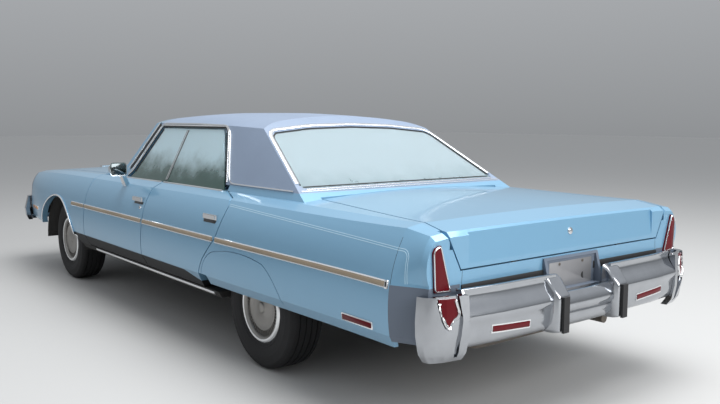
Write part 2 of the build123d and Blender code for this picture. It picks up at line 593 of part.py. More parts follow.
rear_arm = block(REAR_END_X + 75, TAIL_X + 55, 485, 555, 450, 520)
rear_bumper = both(rear_bar + rear_cap + rear_guard + rear_arm)
front_bar = bumper_bar(FRONT_BUMPER, FRONT_LEVELS)
front_guard = side_prism(
    [(FRONT_GUARD_BACK_X, 592), (FRONT_GUARD_X, 578), (FRONT_GUARD_X, 420), (FRONT_GUARD_BACK_X, 398)],
    GUARD_Y - GUARD_W / 2, GUARD_Y + GUARD_W / 2,
)
front_arm = block(NOSE_X + 60, FRONT_END_X - 65, 385, 445, 450, 520)
front_bumper = both(front_bar + front_guard + front_arm)
strip_half = block(REAR_END_X, GUARD_X, GUARD_Y - 20, GUARD_Y + 20, 424, 588)
strip_half = strip_half + block(FRONT_GUARD_X, FRONT_END_X, GUARD_Y - 20, GUARD_Y + 20, 424, 576)
bumper_rubbers = both(strip_half)

# Underbody
floor = block(FLOOR_REAR_X, FIREWALL_X, -820, 820, FLOOR_LOW_Z, FLOOR_TOP_Z)
floor = floor + block(KICK_X, FLOOR_REAR_X, -HOUSE_Y, HOUSE_Y, FLOOR_LOW_Z, FLOOR_TOP_Z)
tunnel = block(KICK_X, FIREWALL_X, -TUNNEL_Y, TUNNEL_Y, FLOOR_LOW_Z, 450)
tunnel_room = block(KICK_X - 50, FIREWALL_X + 50, -TUNNEL_IN_Y, TUNNEL_IN_Y, FLOOR_LOW_Z - 10, 428)
sill = main_outer & block(SILL_REAR_X, SILL_FRONT_X, 790, 1100, 335, SILL_TOP_Z)
for pad_x in JACK_PAD_XS:
    sill = sill + block(pad_x - 60, pad_x + 60, JACK_PAD_Y - 35, JACK_PAD_Y + 35, JACK_PAD_Z, 340)
post = block(REAR_HINGE_X - 40, REAR_HINGE_X + 40, 700, POST_Y, FLOOR_TOP_Z, 860) + hinge_straps(REAR_HINGE_X)
post = post + block(FRONT_HINGE_X - 45, FRONT_HINGE_X + 45, 700, POST_Y, FLOOR_TOP_Z, 860)
post = post + hinge_straps(FRONT_HINGE_X)
floor_pan = (floor + tunnel - tunnel_room) + both(sill) + both(post)

# Front structure: firewall, frame rails, inner aprons, their braces and the radiator wall
firewall = block(FIREWALL_X, FIREWALL_X + SHEET_T, -790, 790, FLOOR_LOW_Z, 880) - tunnel_room
front_rail = block(FIREWALL_X + SHEET_T, RAIL_FRONT_X, 380, 450, 430, 520)
front_rail = front_rail + block(1000, FIREWALL_X + SHEET_T, 380, 450, FLOOR_TOP_Z, 520)
apron = block(FIREWALL_X + SHEET_T, NOSE_X, 498, 512, 440, 860)
apron = apron + block(FIREWALL_X + SHEET_T, NOSE_X, 440, 512, 440, 455)
brace = block(2000, 2080, 500, 1000, 835, 850) & main_inner
for buffer_x, buffer_y in ((FIREWALL_X + 30, 700), (NOSE_X - 130, 560)):
    brace = brace + (upright(buffer_x, buffer_y, 14, 800, 1000) & hood_inner)
brace = brace + block(FIREWALL_X + 10, FIREWALL_X + 50, 498, 714, 800, 812)
brace = brace + block(NOSE_X - 150, NOSE_X, 498, 580, 800, 812)
radiator_wall = block(NOSE_X - 30, NOSE_X, -620, 620, 440, 845)
front_structure = firewall + both(front_rail) + both(apron) + both(brace) + radiator_wall

# Rear structure: kick-up, boot floor, wheel houses, rails and the tray behind the seat
kick_up = block(KICK_X - SHEET_T, KICK_X, -HOUSE_Y, HOUSE_Y, FLOOR_LOW_Z, REAR_FLOOR_Z + SHEET_T) - tunnel_room
rear_floor = block(RAIL_REAR_X, KICK_X - SHEET_T, -HOUSE_Y, HOUSE_Y, REAR_FLOOR_Z, REAR_FLOOR_Z + SHEET_T)
house_wall = block(HOUSE_REAR_X, HOUSE_FRONT_X, HOUSE_Y, HOUSE_Y + HOUSE_T, REAR_FLOOR_Z, HOUSE_TOP_Z)
house_wall = house_wall + block(HOUSE_REAR_X, HOUSE_FRONT_X, HOUSE_Y, 820, HOUSE_TOP_Z - HOUSE_T, HOUSE_TOP_Z)
house_wall = house_wall + block(HOUSE_FRONT_X - HOUSE_T, HOUSE_FRONT_X, HOUSE_Y, 790, FLOOR_TOP_Z, HOUSE_TOP_Z)
rear_rail = block(RAIL_REAR_X, KICK_X - SHEET_T, 480, 560, 430, REAR_FLOOR_Z)
rear_brace = block(-1700, -1600, HOUSE_Y, 1000, HOUSE_TOP_Z - HOUSE_T, HOUSE_TOP_Z) & main_inner
tray = block(-1640, -1330, -770, 770, 925, 940)
tray = tray + block(-1350, -1330, -HOUSE_Y, HOUSE_Y, REAR_FLOOR_Z + SHEET_T, 930)
rear_structure = kick_up + rear_floor + both(house_wall) + both(rear_rail) + both(rear_brace) + tray

# Running gear
ENGINE_LOW_Z = 345.0
SHAFT_Z = 335.0
ARM_T = 20.0
KNUCKLE_LOW_Z = TYRE_R - 83.6
KNUCKLE_HIGH_Z = TYRE_R + 79.6
ARM_LOW_Z = TYRE_R - 84.0
ARM_HIGH_Z = TYRE_R + 80.0
SPRING_FRONT_X = REAR_AXLE_X + 655.0
SPRING_REAR_X = REAR_AXLE_X - 665.0
SPRING_TOP_Z = TYRE_R - 48.0
SPRING_T = 22.0
TANK_LOW_Z = 285.0
PIPE_R = 25.0
PIPE_Y = 490.0
PIPE_HIGH_Y = 440.0
PIPE_LOW_Z = 232.0
PIPE_HIGH_Z = 428.0
PIPE_END_Z = 335.0
PIPE_BEND_R = 90.0
PIPE_FRONT_X = 900.0
SILENCER_X = -800.0
crossmember = block(FRONT_AXLE_X - 95, FRONT_AXLE_X + 95, -460, 460, TYRE_R - 90, TYRE_R - 10)
lower_arm = block(FRONT_AXLE_X - 45, FRONT_AXLE_X + 45, 440, KINGPIN_Y + 40, ARM_LOW_Z - ARM_T, ARM_LOW_Z)
upper_arm = block(FRONT_AXLE_X - 45, FRONT_AXLE_X + 45, 460, KINGPIN_Y + 40, ARM_HIGH_Z, ARM_HIGH_Z + ARM_T)
arm_post = block(FRONT_AXLE_X - 35, FRONT_AXLE_X + 35, 460, 480, ARM_LOW_Z, ARM_HIGH_Z + ARM_T)
engine_mount = block(FRONT_AXLE_X - 45, FRONT_AXLE_X + 45, 170, 240, TYRE_R - 10, ENGINE_LOW_Z)
front_suspension = crossmember + both(lower_arm + upper_arm + arm_post + engine_mount)
axle = crosswise(REAR_AXLE_X, TYRE_R, 38, -720, 720) + lengthwise(0, TYRE_R, 120, REAR_AXLE_X - 110, REAR_AXLE_X + 130)
axle = axle + crosswise(REAR_AXLE_X, TYRE_R, 29.6, -860, 860)
spring = block(SPRING_REAR_X, SPRING_FRONT_X, 575, 635, SPRING_TOP_Z - SPRING_T, SPRING_TOP_Z)
spring = spring + block(REAR_AXLE_X - 65, REAR_AXLE_X + 65, 575, 635, SPRING_TOP_Z, TYRE_R - 10)
spring = spring + block(SPRING_FRONT_X - 40, SPRING_FRONT_X, 575, 635, SPRING_TOP_Z, FLOOR_LOW_Z)
springs = both(spring + block(SPRING_REAR_X, SPRING_REAR_X + 20, 575, 635, SPRING_TOP_Z, REAR_FLOOR_Z))
rear_axle = axle + springs
engine = block(1330, 2150, -280, 280, ENGINE_LOW_Z, 800) + lengthwise(0, SHAFT_Z, 88, 500, 1340)
drive_shaft = lengthwise(0, SHAFT_Z, 40, REAR_AXLE_X + 130, 500)
# The pipe runs below the floor, up over the axle and out beside the tank
pipe_path = FilletPolyline(
    (PIPE_FRONT_X, -PIPE_Y, PIPE_LOW_Z), (REAR_AXLE_X + 265, -PIPE_Y, PIPE_LOW_Z),
    (REAR_AXLE_X + 125, -PIPE_HIGH_Y, PIPE_HIGH_Z), (REAR_AXLE_X - 225, -PIPE_HIGH_Y, PIPE_HIGH_Z),
    (REAR_AXLE_X - 445, -PIPE_HIGH_Y, PIPE_END_Z), (TAIL_X + 95, -PIPE_HIGH_Y, PIPE_END_Z),
    radius=PIPE_BEND_R,
)
exhaust = sweep((pipe_path ^ 0) * Circle(PIPE_R), pipe_path)
silencer = Pos(SILENCER_X, -PIPE_Y, PIPE_LOW_Z) * Rot(0, 90, 0) * extrude(Ellipse(55, 92), 560)
exhaust = exhaust + silencer
exhaust = exhaust + block(-900, -890, -PIPE_Y - 10, 10 - PIPE_Y, PIPE_LOW_Z, FLOOR_LOW_Z)
exhaust = exhaust + block(-2405, -2395, -PIPE_HIGH_Y - 10, 10 - PIPE_HIGH_Y, PIPE_END_Z, REAR_FLOOR_Z)
tank_box = block(TAIL_X + 240, -1950, -380, 400, TANK_LOW_Z, REAR_FLOOR_Z)
fuel_tank = fillet(tank_box.edges().filter_by(Axis.Z), 50)

# Cabin
STEERING_X = 600.0
STEERING_Y = 380.0
STEERING_Z = 850.0
COLUMN_TILT = 25.0
SHAFT_R = 9.0
front_seat = block(20, 540, -690, 690, 452, 600) + both(block(60, 500, 200, 680, 322, 452))
back = side_prism([(30, 600), (20, 452), (-60, 452), (-200, 950), (-90, 960)], -690, 690)
front_seat = front_seat + back
rear_seat = block(-1000, -520, -690, 690, 452, 590) + both(block(-980, -560, 200, 630, 322, 452))
rear_seat = rear_seat + side_prism([(-990, 580), (-990, 452), (-1080, 452), (-1260, 915), (-1130, 920)], -635, 635)
dash_profile = [(1000, 905), (870, 905), (832, 880), (838, 800), (868, 760), (868, 650), (1000, 650)]
dashboard = side_prism(dash_profile, -700, 700) + both(block(1000, 1130, 560, 600, 700, 760))
hood_profile = [(900, 905), (880, 928), (820, 926), (806, 908), (820, 790), (868, 780)]
dashboard = dashboard + side_prism(hood_profile, STEERING_Y - 210, STEERING_Y + 230)
wheel_place = Pos(STEERING_X, STEERING_Y, STEERING_Z) * Rot(0, COLUMN_TILT - 90, 0)
dashboard = dashboard + wheel_place * Pos(0, 0, -160) * Cylinder(24, 280)
dashboard = dashboard - wheel_place * Pos(0, 0, -160) * Cylinder(SHAFT_R + PIN_FIT, 400)
rim = revolve(Plane.XZ * Pos(190, 0) * RegularPolygon(13, 8), Axis.Z, 360)
steering_wheel = wheel_place * (
    rim + Cylinder(40, 30) + Box(26, 376, 14) + Pos(0, 0, -50) * Cylinder(SHAFT_R, 90)
)

# Road wheels
# Radius and distance from the tyre's middle plane, from bead to tread, on each side
TYRE_SIDES = 72
TYRE_PROFILE = [
    (RIM_R + 16, TYRE_WIDTH / 2 - 15.5), (RIM_R + 66, TYRE_WIDTH / 2),
    (TYRE_R - 18, TYRE_WIDTH / 2 - 9.5), (TYRE_R, TYRE_WIDTH / 2 - 29.5),
]
RIM_Y = TYRE_WIDTH / 2 - 17.5
RIM_SEAT_R = RIM_R - 0.3
rings = [(r, -y) for r, y in TYRE_PROFILE] + [(r, y) for r, y in reversed(TYRE_PROFILE)]
tyre_body = loft([Pos(0, y, 0) * Rot(90, 0, 0) * RegularPolygon(r, TYRE_SIDES) for r, y in rings], ruled=True)
tyre_ring = tyre_body - crosswise(0, 0, RIM_R, -TYRE_WIDTH, TYRE_WIDTH)
wheel_profile = [
    (30, -20), (30, 72), (62, 80), (72, 66), (RIM_R - 46, 66), (RIM_R - 30, 84), (RIM_SEAT_R, RIM_Y),
    (RIM_SEAT_R, -RIM_Y), (RIM_R - 10, -RIM_Y), (RIM_R - 10, 50), (60, 50), (60, -20),
]
wheel_disc = revolve(make_face(Polyline(*wheel_profile, close=True)), Axis.Y, 360)
knuckle = block(
    FRONT_AXLE_X - 35, FRONT_AXLE_X + 35, KINGPIN_Y - 35, KINGPIN_Y + 35, KNUCKLE_LOW_Z, KNUCKLE_HIGH_Z
)
knuckle = knuckle + crosswise(FRONT_AXLE_X, TYRE_R, 29.6, 760, 860)

shapes = {
    "floor_pan": floor_pan,
    "front_structure": front_structure,
    "rear_structure": rear_structure,
    "roof": roof,
    "windscreen_frame": windscreen_frame,
    "tail_panel": tail_panel,
    "deck_strip": strip,
    "windscreen": windscreen,
    "rear_window": rear_window,
    "front_bumper": front_bumper,
    "rear_bumper": rear_bumper,
    "bumper_rubbers": bumper_rubbers,
    "nose_panel": header,
    "grille": grille,
    "front_lamps": front_lamps,
    "tail_lamps": tail_lamps,
    "filler_panels": filler_panels,
    "plate_recess": plate_recess,
    "front_suspension": front_suspension,
    "rear_axle": rear_axle,
    "drive_shaft": drive_shaft,
    "exhaust": exhaust,
    "fuel_tank": fuel_tank,
    "engine": engine,
    "front_seat": front_seat,
    "rear_seat": rear_seat,
    "dashboard": dashboard,
    "steering_wheel": steering_wheel,
    "bonnet": hood,
    "boot_lid": lid,
}
left_shapes = {
    "front_fender": fender,
    "quarter": quarter,
    "front_door": doors["front"],
    "rear_door": doors["rear"],
    "front_door_glass": door_glass["front"],
    "rear_door_glass": door_glass["rear"],
    "front_door_chrome": handles["front"] + mirror_head + mirror_stem,
    "rear_door_chrome": handles["rear"],
    "knuckle": knuckle,
    "front_tyre": Pos(FRONT_AXLE_X, WHEEL_CENTRE_Y, TYRE_R) * tyre_ring,
    "front_wheel": Pos(FRONT_AXLE_X, WHEEL_CENTRE_Y, TYRE_R) * wheel_disc,
    "rear_tyre": Pos(REAR_AXLE_X, WHEEL_CENTRE_Y, TYRE_R) * tyre_ring,
    "rear_wheel": Pos(REAR_AXLE_X, WHEEL_CENTRE_Y, TYRE_R) * wheel_disc,
}
for name, shape in left_shapes.items():
    shapes[name + "_left"] = shape
    shapes[name + "_right"] = right(shape)
for name, shape in shapes.items():
    export_step(shape, f"parts/{name}.step")
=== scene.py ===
# %% [markdown]
# The car comes in from CAD as a fixed frame: every panel, window, seat and wheel already has its
# real size and place. It could be modelled again here, but then it would drift from the moving
# parts, so this file only gives the panels their finish and adds the thin trim.

# %% Load the car
import json
import math

import bmesh
import bpy
from mathutils import Matrix, Vector
from mathutils.bvhtree import BVHTree


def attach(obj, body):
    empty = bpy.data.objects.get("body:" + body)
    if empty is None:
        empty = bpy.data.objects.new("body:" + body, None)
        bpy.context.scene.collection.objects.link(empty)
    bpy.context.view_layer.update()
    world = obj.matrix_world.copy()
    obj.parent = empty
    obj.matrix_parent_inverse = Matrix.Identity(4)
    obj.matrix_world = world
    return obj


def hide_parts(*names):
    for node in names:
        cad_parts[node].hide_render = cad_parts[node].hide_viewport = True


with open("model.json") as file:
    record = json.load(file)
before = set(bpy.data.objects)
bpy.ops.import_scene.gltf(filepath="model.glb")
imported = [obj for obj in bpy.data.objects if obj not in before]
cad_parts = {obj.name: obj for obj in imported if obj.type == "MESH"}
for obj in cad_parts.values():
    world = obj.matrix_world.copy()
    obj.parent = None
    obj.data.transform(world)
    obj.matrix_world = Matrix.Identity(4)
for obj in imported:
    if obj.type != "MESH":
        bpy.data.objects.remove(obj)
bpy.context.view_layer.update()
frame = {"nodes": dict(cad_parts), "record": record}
nodes = frame["nodes"]

SIDES = (("left", 1), ("right", -1))
FRONT_AXLE_X = 1.735
REAR_AXLE_X = -1.415
HUB_Z = 0.340
WHEEL_Y = 0.800


def add_object(name, data):
    thing = bpy.data.objects.new(name, data)
    bpy.context.scene.collection.objects.link(thing)
    return thing

# %% [markdown]
# The camera stands where the photographer stood, behind the car's left rear corner at eye height.
# A camera can be aimed with a tracking constraint, but plain heading, pitch and roll angles are
# easier to match to a photograph.

# %% Camera
CAMERA_AT = Vector((-5.055, 3.085, 1.376))
HEADING = math.radians(-38.46)
PITCH = math.radians(-6.04)
ROLL = math.radians(-0.2)
SENSOR_WIDTH_MM = 36.0
LENS_MM = 38.93
forward = Vector((
    math.cos(PITCH) * math.cos(HEADING), math.cos(PITCH) * math.sin(HEADING), math.sin(PITCH)
))
level_right = forward.cross(Vector((0, 0, 1))).normalized()
level_down = forward.cross(level_right)
tilted_right = math.cos(ROLL) * level_right + math.sin(ROLL) * level_down
tilted_down = math.cos(ROLL) * level_down - math.sin(ROLL) * level_right
camera_data = bpy.data.cameras.new("photo_camera")
camera_data.sensor_width = SENSOR_WIDTH_MM
camera_data.lens = LENS_MM
camera = add_object("photo_camera", camera_data)
turn = Matrix((tilted_right, -tilted_down, -forward)).transposed()
camera.matrix_world = Matrix.Translation(CAMERA_AT) @ turn.to_4x4()
bpy.context.scene.camera = camera
print("camera lens, mm:", LENS_MM)

# %% [markdown]
# The car stands on a pale, plain floor. A street with a kerb could be modelled, but the floor is only
# there to catch shadows and to show in the chrome, so one large square is enough.

# %% Floor
FLOOR_COLOUR = (0.46, 0.46, 0.455, 1)
FLOOR_ROUGHNESS = 0.85
FLOOR_REACH = 60


def new_material(name):
    """A material with a Principled shader, and its node tree and shader ready to wire."""
    material = bpy.data.materials.new(name)
    material.use_nodes = True
    tree = material.node_tree
    return material, tree, tree.nodes["Principled BSDF"]


floor_material, _, floor_shader = new_material("pale_floor")
floor_shader.inputs["Base Color"].default_value = FLOOR_COLOUR
floor_shader.inputs["Roughness"].default_value = FLOOR_ROUGHNESS
floor_mesh = bpy.data.meshes.new("floor")
floor_corners = [(FLOOR_REACH * x, FLOOR_REACH * y, 0) for x, y in ((-1, -1), (1, -1), (1, 1), (-1, 1))]
floor_mesh.from_pydata(floor_corners, [], [(0, 1, 2, 3)])
floor_mesh.materials.append(floor_material)
floor = add_object("floor", floor_mesh)
print("floor, m:", 2 * FLOOR_REACH)

# %% [markdown]
# Large soft lamps stand in for an overcast sky. Hard lamps would draw bright lines on chrome, so the
# world gives most of the light, and it is paler high up than at the horizon.

# %% Soft light
# The sky's colours low and high, where on the ramp each is reached, and its strength
LOW_SKY, LOW_SKY_AT = (0.27, 0.28, 0.29, 1), 0.42
HIGH_SKY, HIGH_SKY_AT = (0.86, 0.89, 0.93, 1), 0.75
SKY_STRENGTH = 0.70
world = bpy.data.worlds.new("soft_sky")
bpy.context.scene.world = world
world.use_nodes = True
sky_tree = world.node_tree
sky = sky_tree.nodes["Background"]
sky_where = sky_tree.nodes.new("ShaderNodeTexCoord")
sky_split = sky_tree.nodes.new("ShaderNodeSeparateXYZ")
sky_ramp = sky_tree.nodes.new("ShaderNodeValToRGB")
for stop, at, colour in zip(sky_ramp.color_ramp.elements, (LOW_SKY_AT, HIGH_SKY_AT), (LOW_SKY, HIGH_SKY)):
    stop.position = at
    stop.color = colour
sky_half = sky_tree.nodes.new("ShaderNodeMath")
sky_half.operation = "MULTIPLY_ADD"
sky_half.inputs[1].default_value = 0.5
sky_half.inputs[2].default_value = 0.5
sky_tree.links.new(sky_where.outputs["Generated"], sky_split.inputs[0])
sky_tree.links.new(sky_split.outputs["Z"], sky_half.inputs[0])
sky_tree.links.new(sky_half.outputs[0], sky_ramp.inputs[0])
sky_tree.links.new(sky_ramp.outputs[0], sky.inputs["Color"])
sky.inputs["Strength"].default_value = SKY_STRENGTH


def soft_lamp(name, at, aim, size, power):
    """A large area lamp at one place, aimed at another."""
    data = bpy.data.lights.new(name, "AREA")
    data.size = size
    data.energy = power
    lamp = add_object(name, data)
    lamp.location = at
    lamp.rotation_euler = (Vector(aim) - Vector(at)).to_track_quat("-Z", "Y").to_euler()


# Name, place, what it is aimed at, size in metres and power in watts
for lamp in (
    ("overhead_softbox", (-2.0, -0.8, 8.0), (-1.0, 0, 0.6), 7.0, 820),
    ("rear_softbox", (-10.0, -1.0, 4.5), (-1.5, 0, 0.6), 5.0, 560),
):
    soft_lamp(*lamp)
print("sky strength:", SKY_STRENGTH)

# %% [markdown]
# Several finishes need the same effects: fine dirt that gathers low down on the body, which on the bumper
# chrome is painted shade as well, and a small surface grain. Each could be wired again in every material,
# but a shader group with named inputs is built once and set for each finish. First come short helpers that
# add and link nodes.

# %% Shader helpers
def start_group(name, inputs, outputs):
    """A shader group with float or colour inputs, given as name, type and starting value."""
    group = bpy.data.node_groups.new(name, "ShaderNodeTree")
    for label, kind, value in inputs:
        socket = group.interface.new_socket(label, in_out="INPUT", socket_type=kind)
        socket.default_value = value
    for label, kind in outputs:
        group.interface.new_socket(label, in_out="OUTPUT", socket_type=kind)
    return group, group.nodes.new("NodeGroupInput"), group.nodes.new("NodeGroupOutput")


def wire(tree, start, end):
    tree.links.new(start, end)


def math_node(tree, operation, first, second):
    """A Math node. Each value is a number or an output to link."""
    node = tree.nodes.new("ShaderNodeMath")
    node.operation = operation
    for index, value in enumerate((first, second)):
        if isinstance(value, (int, float)):
            node.inputs[index].default_value = value
        else:
            wire(tree, value, node.inputs[index])
    return node.outputs[0]


def mix_colours(tree, factor, first, second):
    """A mix of two colours, each a value or an output to link."""
    node = tree.nodes.new("ShaderNodeMix")
    node.data_type = "RGBA"
    wire(tree, factor, node.inputs["Factor"])
    for index, colour in ((6, first), (7, second)):
        if isinstance(colour, tuple):
            node.inputs[index].default_value = colour
        else:
            wire(tree, colour, node.inputs[index])
    return node.outputs[2]


def noise_node(tree, vector, scale, detail=4.0, rough=0.55):
    node = tree.nodes.new("ShaderNodeTexNoise")
    node.inputs["Detail"].default_value = detail
    node.inputs["Roughness"].default_value = rough
    if isinstance(scale, (int, float)):
        node.inputs["Scale"].default_value = scale
    else:
        wire(tree, scale, node.inputs["Scale"])
    wire(tree, vector, node.inputs["Vector"])
    return node.outputs["Fac"]


print("shader groups so far:", len(bpy.data.node_groups))

# %% [markdown]
# Road dirt is thickest near the ground and lies in blotches. On the bumper chrome the same darkening
# towards the bottom is also painted shade, standing in for the dark lower face that a rolled bar reflects.
# It could be painted on a picture by hand, but a mix by height and noise needs no unwrapping and suits
# every panel.

# %% Low dirt and painted shade
FLOAT, COLOUR = "NodeSocketFloat", "NodeSocketColor"
# A little darkening is left high up too, and the surface is rougher where it lies
LEAST_DIRT_AND_SHADE = 0.06
DIRT_AND_SHADE_ROUGHENS = 0.5
dirt_and_shade_group, dirt_and_shade_in, dirt_and_shade_out = start_group(
    "low_dirt_and_shade",
    [("Colour", COLOUR, (0.5, 0.5, 0.5, 1)), ("Dirt And Shade Colour", COLOUR, (0.13, 0.12, 0.11, 1)),
     ("Top", FLOAT, 0.55), ("Amount", FLOAT, 0.5), ("Roughness", FLOAT, 0.3), ("Blotches", FLOAT, 3.0)],
    [("Colour", COLOUR), ("Roughness", FLOAT)],
)
place = dirt_and_shade_group.nodes.new("ShaderNodeTexCoord").outputs["Object"]
split = dirt_and_shade_group.nodes.new("ShaderNodeSeparateXYZ")
wire(dirt_and_shade_group, place, split.inputs[0])
height_share = math_node(dirt_and_shade_group, "DIVIDE", split.outputs["Z"], dirt_and_shade_in.outputs["Top"])
low_share = math_node(dirt_and_shade_group, "SUBTRACT", 1.0, height_share)
low_share = math_node(dirt_and_shade_group, "MAXIMUM", low_share, LEAST_DIRT_AND_SHADE)
blotch = noise_node(dirt_and_shade_group, place, dirt_and_shade_in.outputs["Blotches"], 6.0, 0.65)
cover = math_node(dirt_and_shade_group, "MULTIPLY", low_share, math_node(dirt_and_shade_group, "MULTIPLY", blotch, 2.0))
cover = math_node(dirt_and_shade_group, "MULTIPLY", cover, dirt_and_shade_in.outputs["Amount"])
cover = math_node(dirt_and_shade_group, "MINIMUM", cover, 1.0)
darkened_low = mix_colours(dirt_and_shade_group, cover, dirt_and_shade_in.outputs["Colour"], dirt_and_shade_in.outputs["Dirt And Shade Colour"])
wire(dirt_and_shade_group, darkened_low, dirt_and_shade_out.inputs["Colour"])
rougher = math_node(dirt_and_shade_group, "MULTIPLY", cover, DIRT_AND_SHADE_ROUGHENS)
rougher = math_node(dirt_and_shade_group, "ADD", rougher, dirt_and_shade_in.outputs["Roughness"])
wire(dirt_and_shade_group, rougher, dirt_and_shade_out.inputs["Roughness"])
print("nodes for dirt:", len(dirt_and_shade_group.nodes))

# %% [markdown]
# Vinyl, cloth, rubber and cast metal share a fine raised grain and a faint mottle of light and dark.
# Modelling a grain this fine would take millions of faces, so it is bump.

# %% Fine grain
MOTTLE_SCALE = 2.5
GRAIN_HEIGHT = 0.0006
GRAIN_ROUGHENS = 0.2
grain_group, grain_in, grain_out = start_group(
    "fine_grain",
    [("Colour", COLOUR, (0.5, 0.5, 0.5, 1)), ("Grain Size", FLOAT, 200.0), ("Mottle", FLOAT, 0.15),
     ("Depth", FLOAT, 0.2), ("Roughness", FLOAT, 0.5)],
    [("Colour", COLOUR), ("Roughness", FLOAT), ("Normal", "NodeSocketVector")],
)
place = grain_group.nodes.new("ShaderNodeTexCoord").outputs["Object"]
fine = noise_node(grain_group, place, grain_in.outputs["Grain Size"], 3.0)
broad = noise_node(grain_group, place, MOTTLE_SCALE, 5.0)
shade = math_node(grain_group, "SUBTRACT", broad, 0.5)
shade = math_node(grain_group, "MULTIPLY", shade, grain_in.outputs["Mottle"])
shade = math_node(grain_group, "ADD", shade, 1.0)
shade_mix = grain_group.nodes.new("ShaderNodeVectorMath")
shade_mix.operation = "SCALE"
wire(grain_group, grain_in.outputs["Colour"], shade_mix.inputs[0])
wire(grain_group, shade, shade_mix.inputs["Scale"])
wire(grain_group, shade_mix.outputs[0], grain_out.inputs["Colour"])
grain_bump = grain_group.nodes.new("ShaderNodeBump")
grain_bump.inputs["Distance"].default_value = GRAIN_HEIGHT
wire(grain_group, grain_in.outputs["Depth"], grain_bump.inputs["Strength"])
wire(grain_group, fine, grain_bump.inputs["Height"])
wire(grain_group, grain_bump.outputs[0], grain_out.inputs["Normal"])
grain_rough = math_node(grain_group, "SUBTRACT", fine, 0.5)
grain_rough = math_node(grain_group, "MULTIPLY", grain_rough, GRAIN_ROUGHENS)
grain_rough = math_node(grain_group, "ADD", grain_rough, grain_in.outputs["Roughness"])
wire(grain_group, grain_rough, grain_out.inputs["Roughness"])
print("nodes for grain:", len(grain_group.nodes))

# %% [markdown]
# Each finish is one material. The paint is a light blue metallic under clear coat, dusty near the
# ground. Each material could be wired by hand, but most differ only in a few numbers, so one function
# makes the smooth ones and one the grained ones.

# %% Finishes
def place_group(tree, group, values):
    node = tree.nodes.new("ShaderNodeGroup")
    node.node_tree = group
    for label, value in values.items():
        node.inputs[label].default_value = value
    return node


def dust_and_shade(name, colour, roughness, metallic=0.0, top=0.55, amount=0.5, coat=0.0, blotches=3.0, shade_and_dirt_colour=None):
    """A smooth finish that is darker low down: dirt, and on the bumper chrome painted shade as well."""
    material, tree, shader = new_material(name)
    node = place_group(tree, dirt_and_shade_group, {
        "Colour": (*colour, 1), "Roughness": roughness, "Top": top, "Amount": amount, "Blotches": blotches,
    })
    if shade_and_dirt_colour:
        node.inputs["Dirt And Shade Colour"].default_value = (*shade_and_dirt_colour, 1)
    wire(tree, node.outputs["Colour"], shader.inputs["Base Color"])
    wire(tree, node.outputs["Roughness"], shader.inputs["Roughness"])
    shader.inputs["Metallic"].default_value = metallic
    shader.inputs["Coat Weight"].default_value = coat
    shader.inputs["Coat Roughness"].default_value = COAT_ROUGHNESS
    return material


def grained(name, colour, roughness, grain_size, depth, mottle=0.15, metallic=0.0, sheen=0.0):
    """A finish with a fine raised grain."""
    material, tree, shader = new_material(name)
    node = place_group(tree, grain_group, {
        "Colour": (*colour, 1), "Roughness": roughness, "Grain Size": grain_size, "Depth": depth,
        "Mottle": mottle,
    })
    for label in ("Roughness", "Normal"):
        wire(tree, node.outputs[label], shader.inputs[label])
    wire(tree, node.outputs["Colour"], shader.inputs["Base Color"])
    shader.inputs["Metallic"].default_value = metallic
    shader.inputs["Sheen Weight"].default_value = sheen
    return material


PAINT_COLOUR = (0.190, 0.395, 0.575)
PAINT_ROUGHNESS = 0.34
PAINT_METALLIC = 0.35
PAINT_DIRT = 0.28
PAINT_COAT = 0.7
COAT_ROUGHNESS = 0.06
blue_paint = dust_and_shade("blue_paint", PAINT_COLOUR, PAINT_ROUGHNESS, metallic=PAINT_METALLIC, amount=PAINT_DIRT,
                   coat=PAINT_COAT)
chrome_plate = dust_and_shade("chrome_plate", (0.78, 0.79, 0.80), 0.10, metallic=1.0, top=0.6, amount=0.10)
# The bumper chrome has a darker base than the other chrome and darkens in blotches towards the bottom:
# painted shade and reflection, partly road dirt
shaded_bumper_chrome = dust_and_shade("shaded_bumper_chrome", (0.50, 0.52, 0.55), 0.07, metallic=1.0, top=1.0, amount=0.30,
                      blotches=9.0, shade_and_dirt_colour=(0.07, 0.07, 0.075))
bright_steel = dust_and_shade("bright_steel", (0.88, 0.89, 0.90), 0.26, metallic=1.0, amount=0.10)
cover_silver = dust_and_shade("cover_silver", (0.34, 0.33, 0.315), 0.36, metallic=0.9, top=0.7, amount=0.35)
vinyl_roof = grained("vinyl_roof", (0.215, 0.275, 0.375), 0.44, 420.0, 0.55, mottle=0.22)
grey_urethane = grained("grey_urethane", (0.115, 0.142, 0.185), 0.5, 300.0, 0.15, mottle=0.2)
black_rubber = grained("black_rubber", (0.012, 0.012, 0.013), 0.6, 350.0, 0.3)
tyre_rubber = grained("tyre_rubber", (0.010, 0.010, 0.011), 0.78, 240.0, 0.4, mottle=0.5)
underseal = grained("underseal", (0.022, 0.021, 0.020), 0.8, 120.0, 0.8, mottle=0.6)
dull_iron = grained("dull_iron", (0.06, 0.055, 0.05), 0.7, 160.0, 0.6, mottle=0.8, metallic=0.4)
dull_steel = grained("dull_steel", (0.16, 0.14, 0.12), 0.6, 160.0, 0.4, mottle=0.8, metallic=0.6)
blue_velour = grained("blue_velour", (0.09, 0.14, 0.23), 0.85, 900.0, 0.5, mottle=0.3, sheen=0.4)
cabin_carpet = grained("cabin_carpet", (0.035, 0.055, 0.09), 0.95, 1200.0, 0.8, mottle=0.4, sheen=0.3)
dull_plate = grained("dull_plate", (0.30, 0.30, 0.31), 0.42, 260.0, 0.3, mottle=0.5, metallic=0.7)
dash_wood = grained("dash_wood", (0.10, 0.045, 0.022), 0.35, 60.0, 0.2, mottle=1.2)
blue_plastic = grained("blue_plastic", (0.05, 0.085, 0.14), 0.5, 700.0, 0.3)
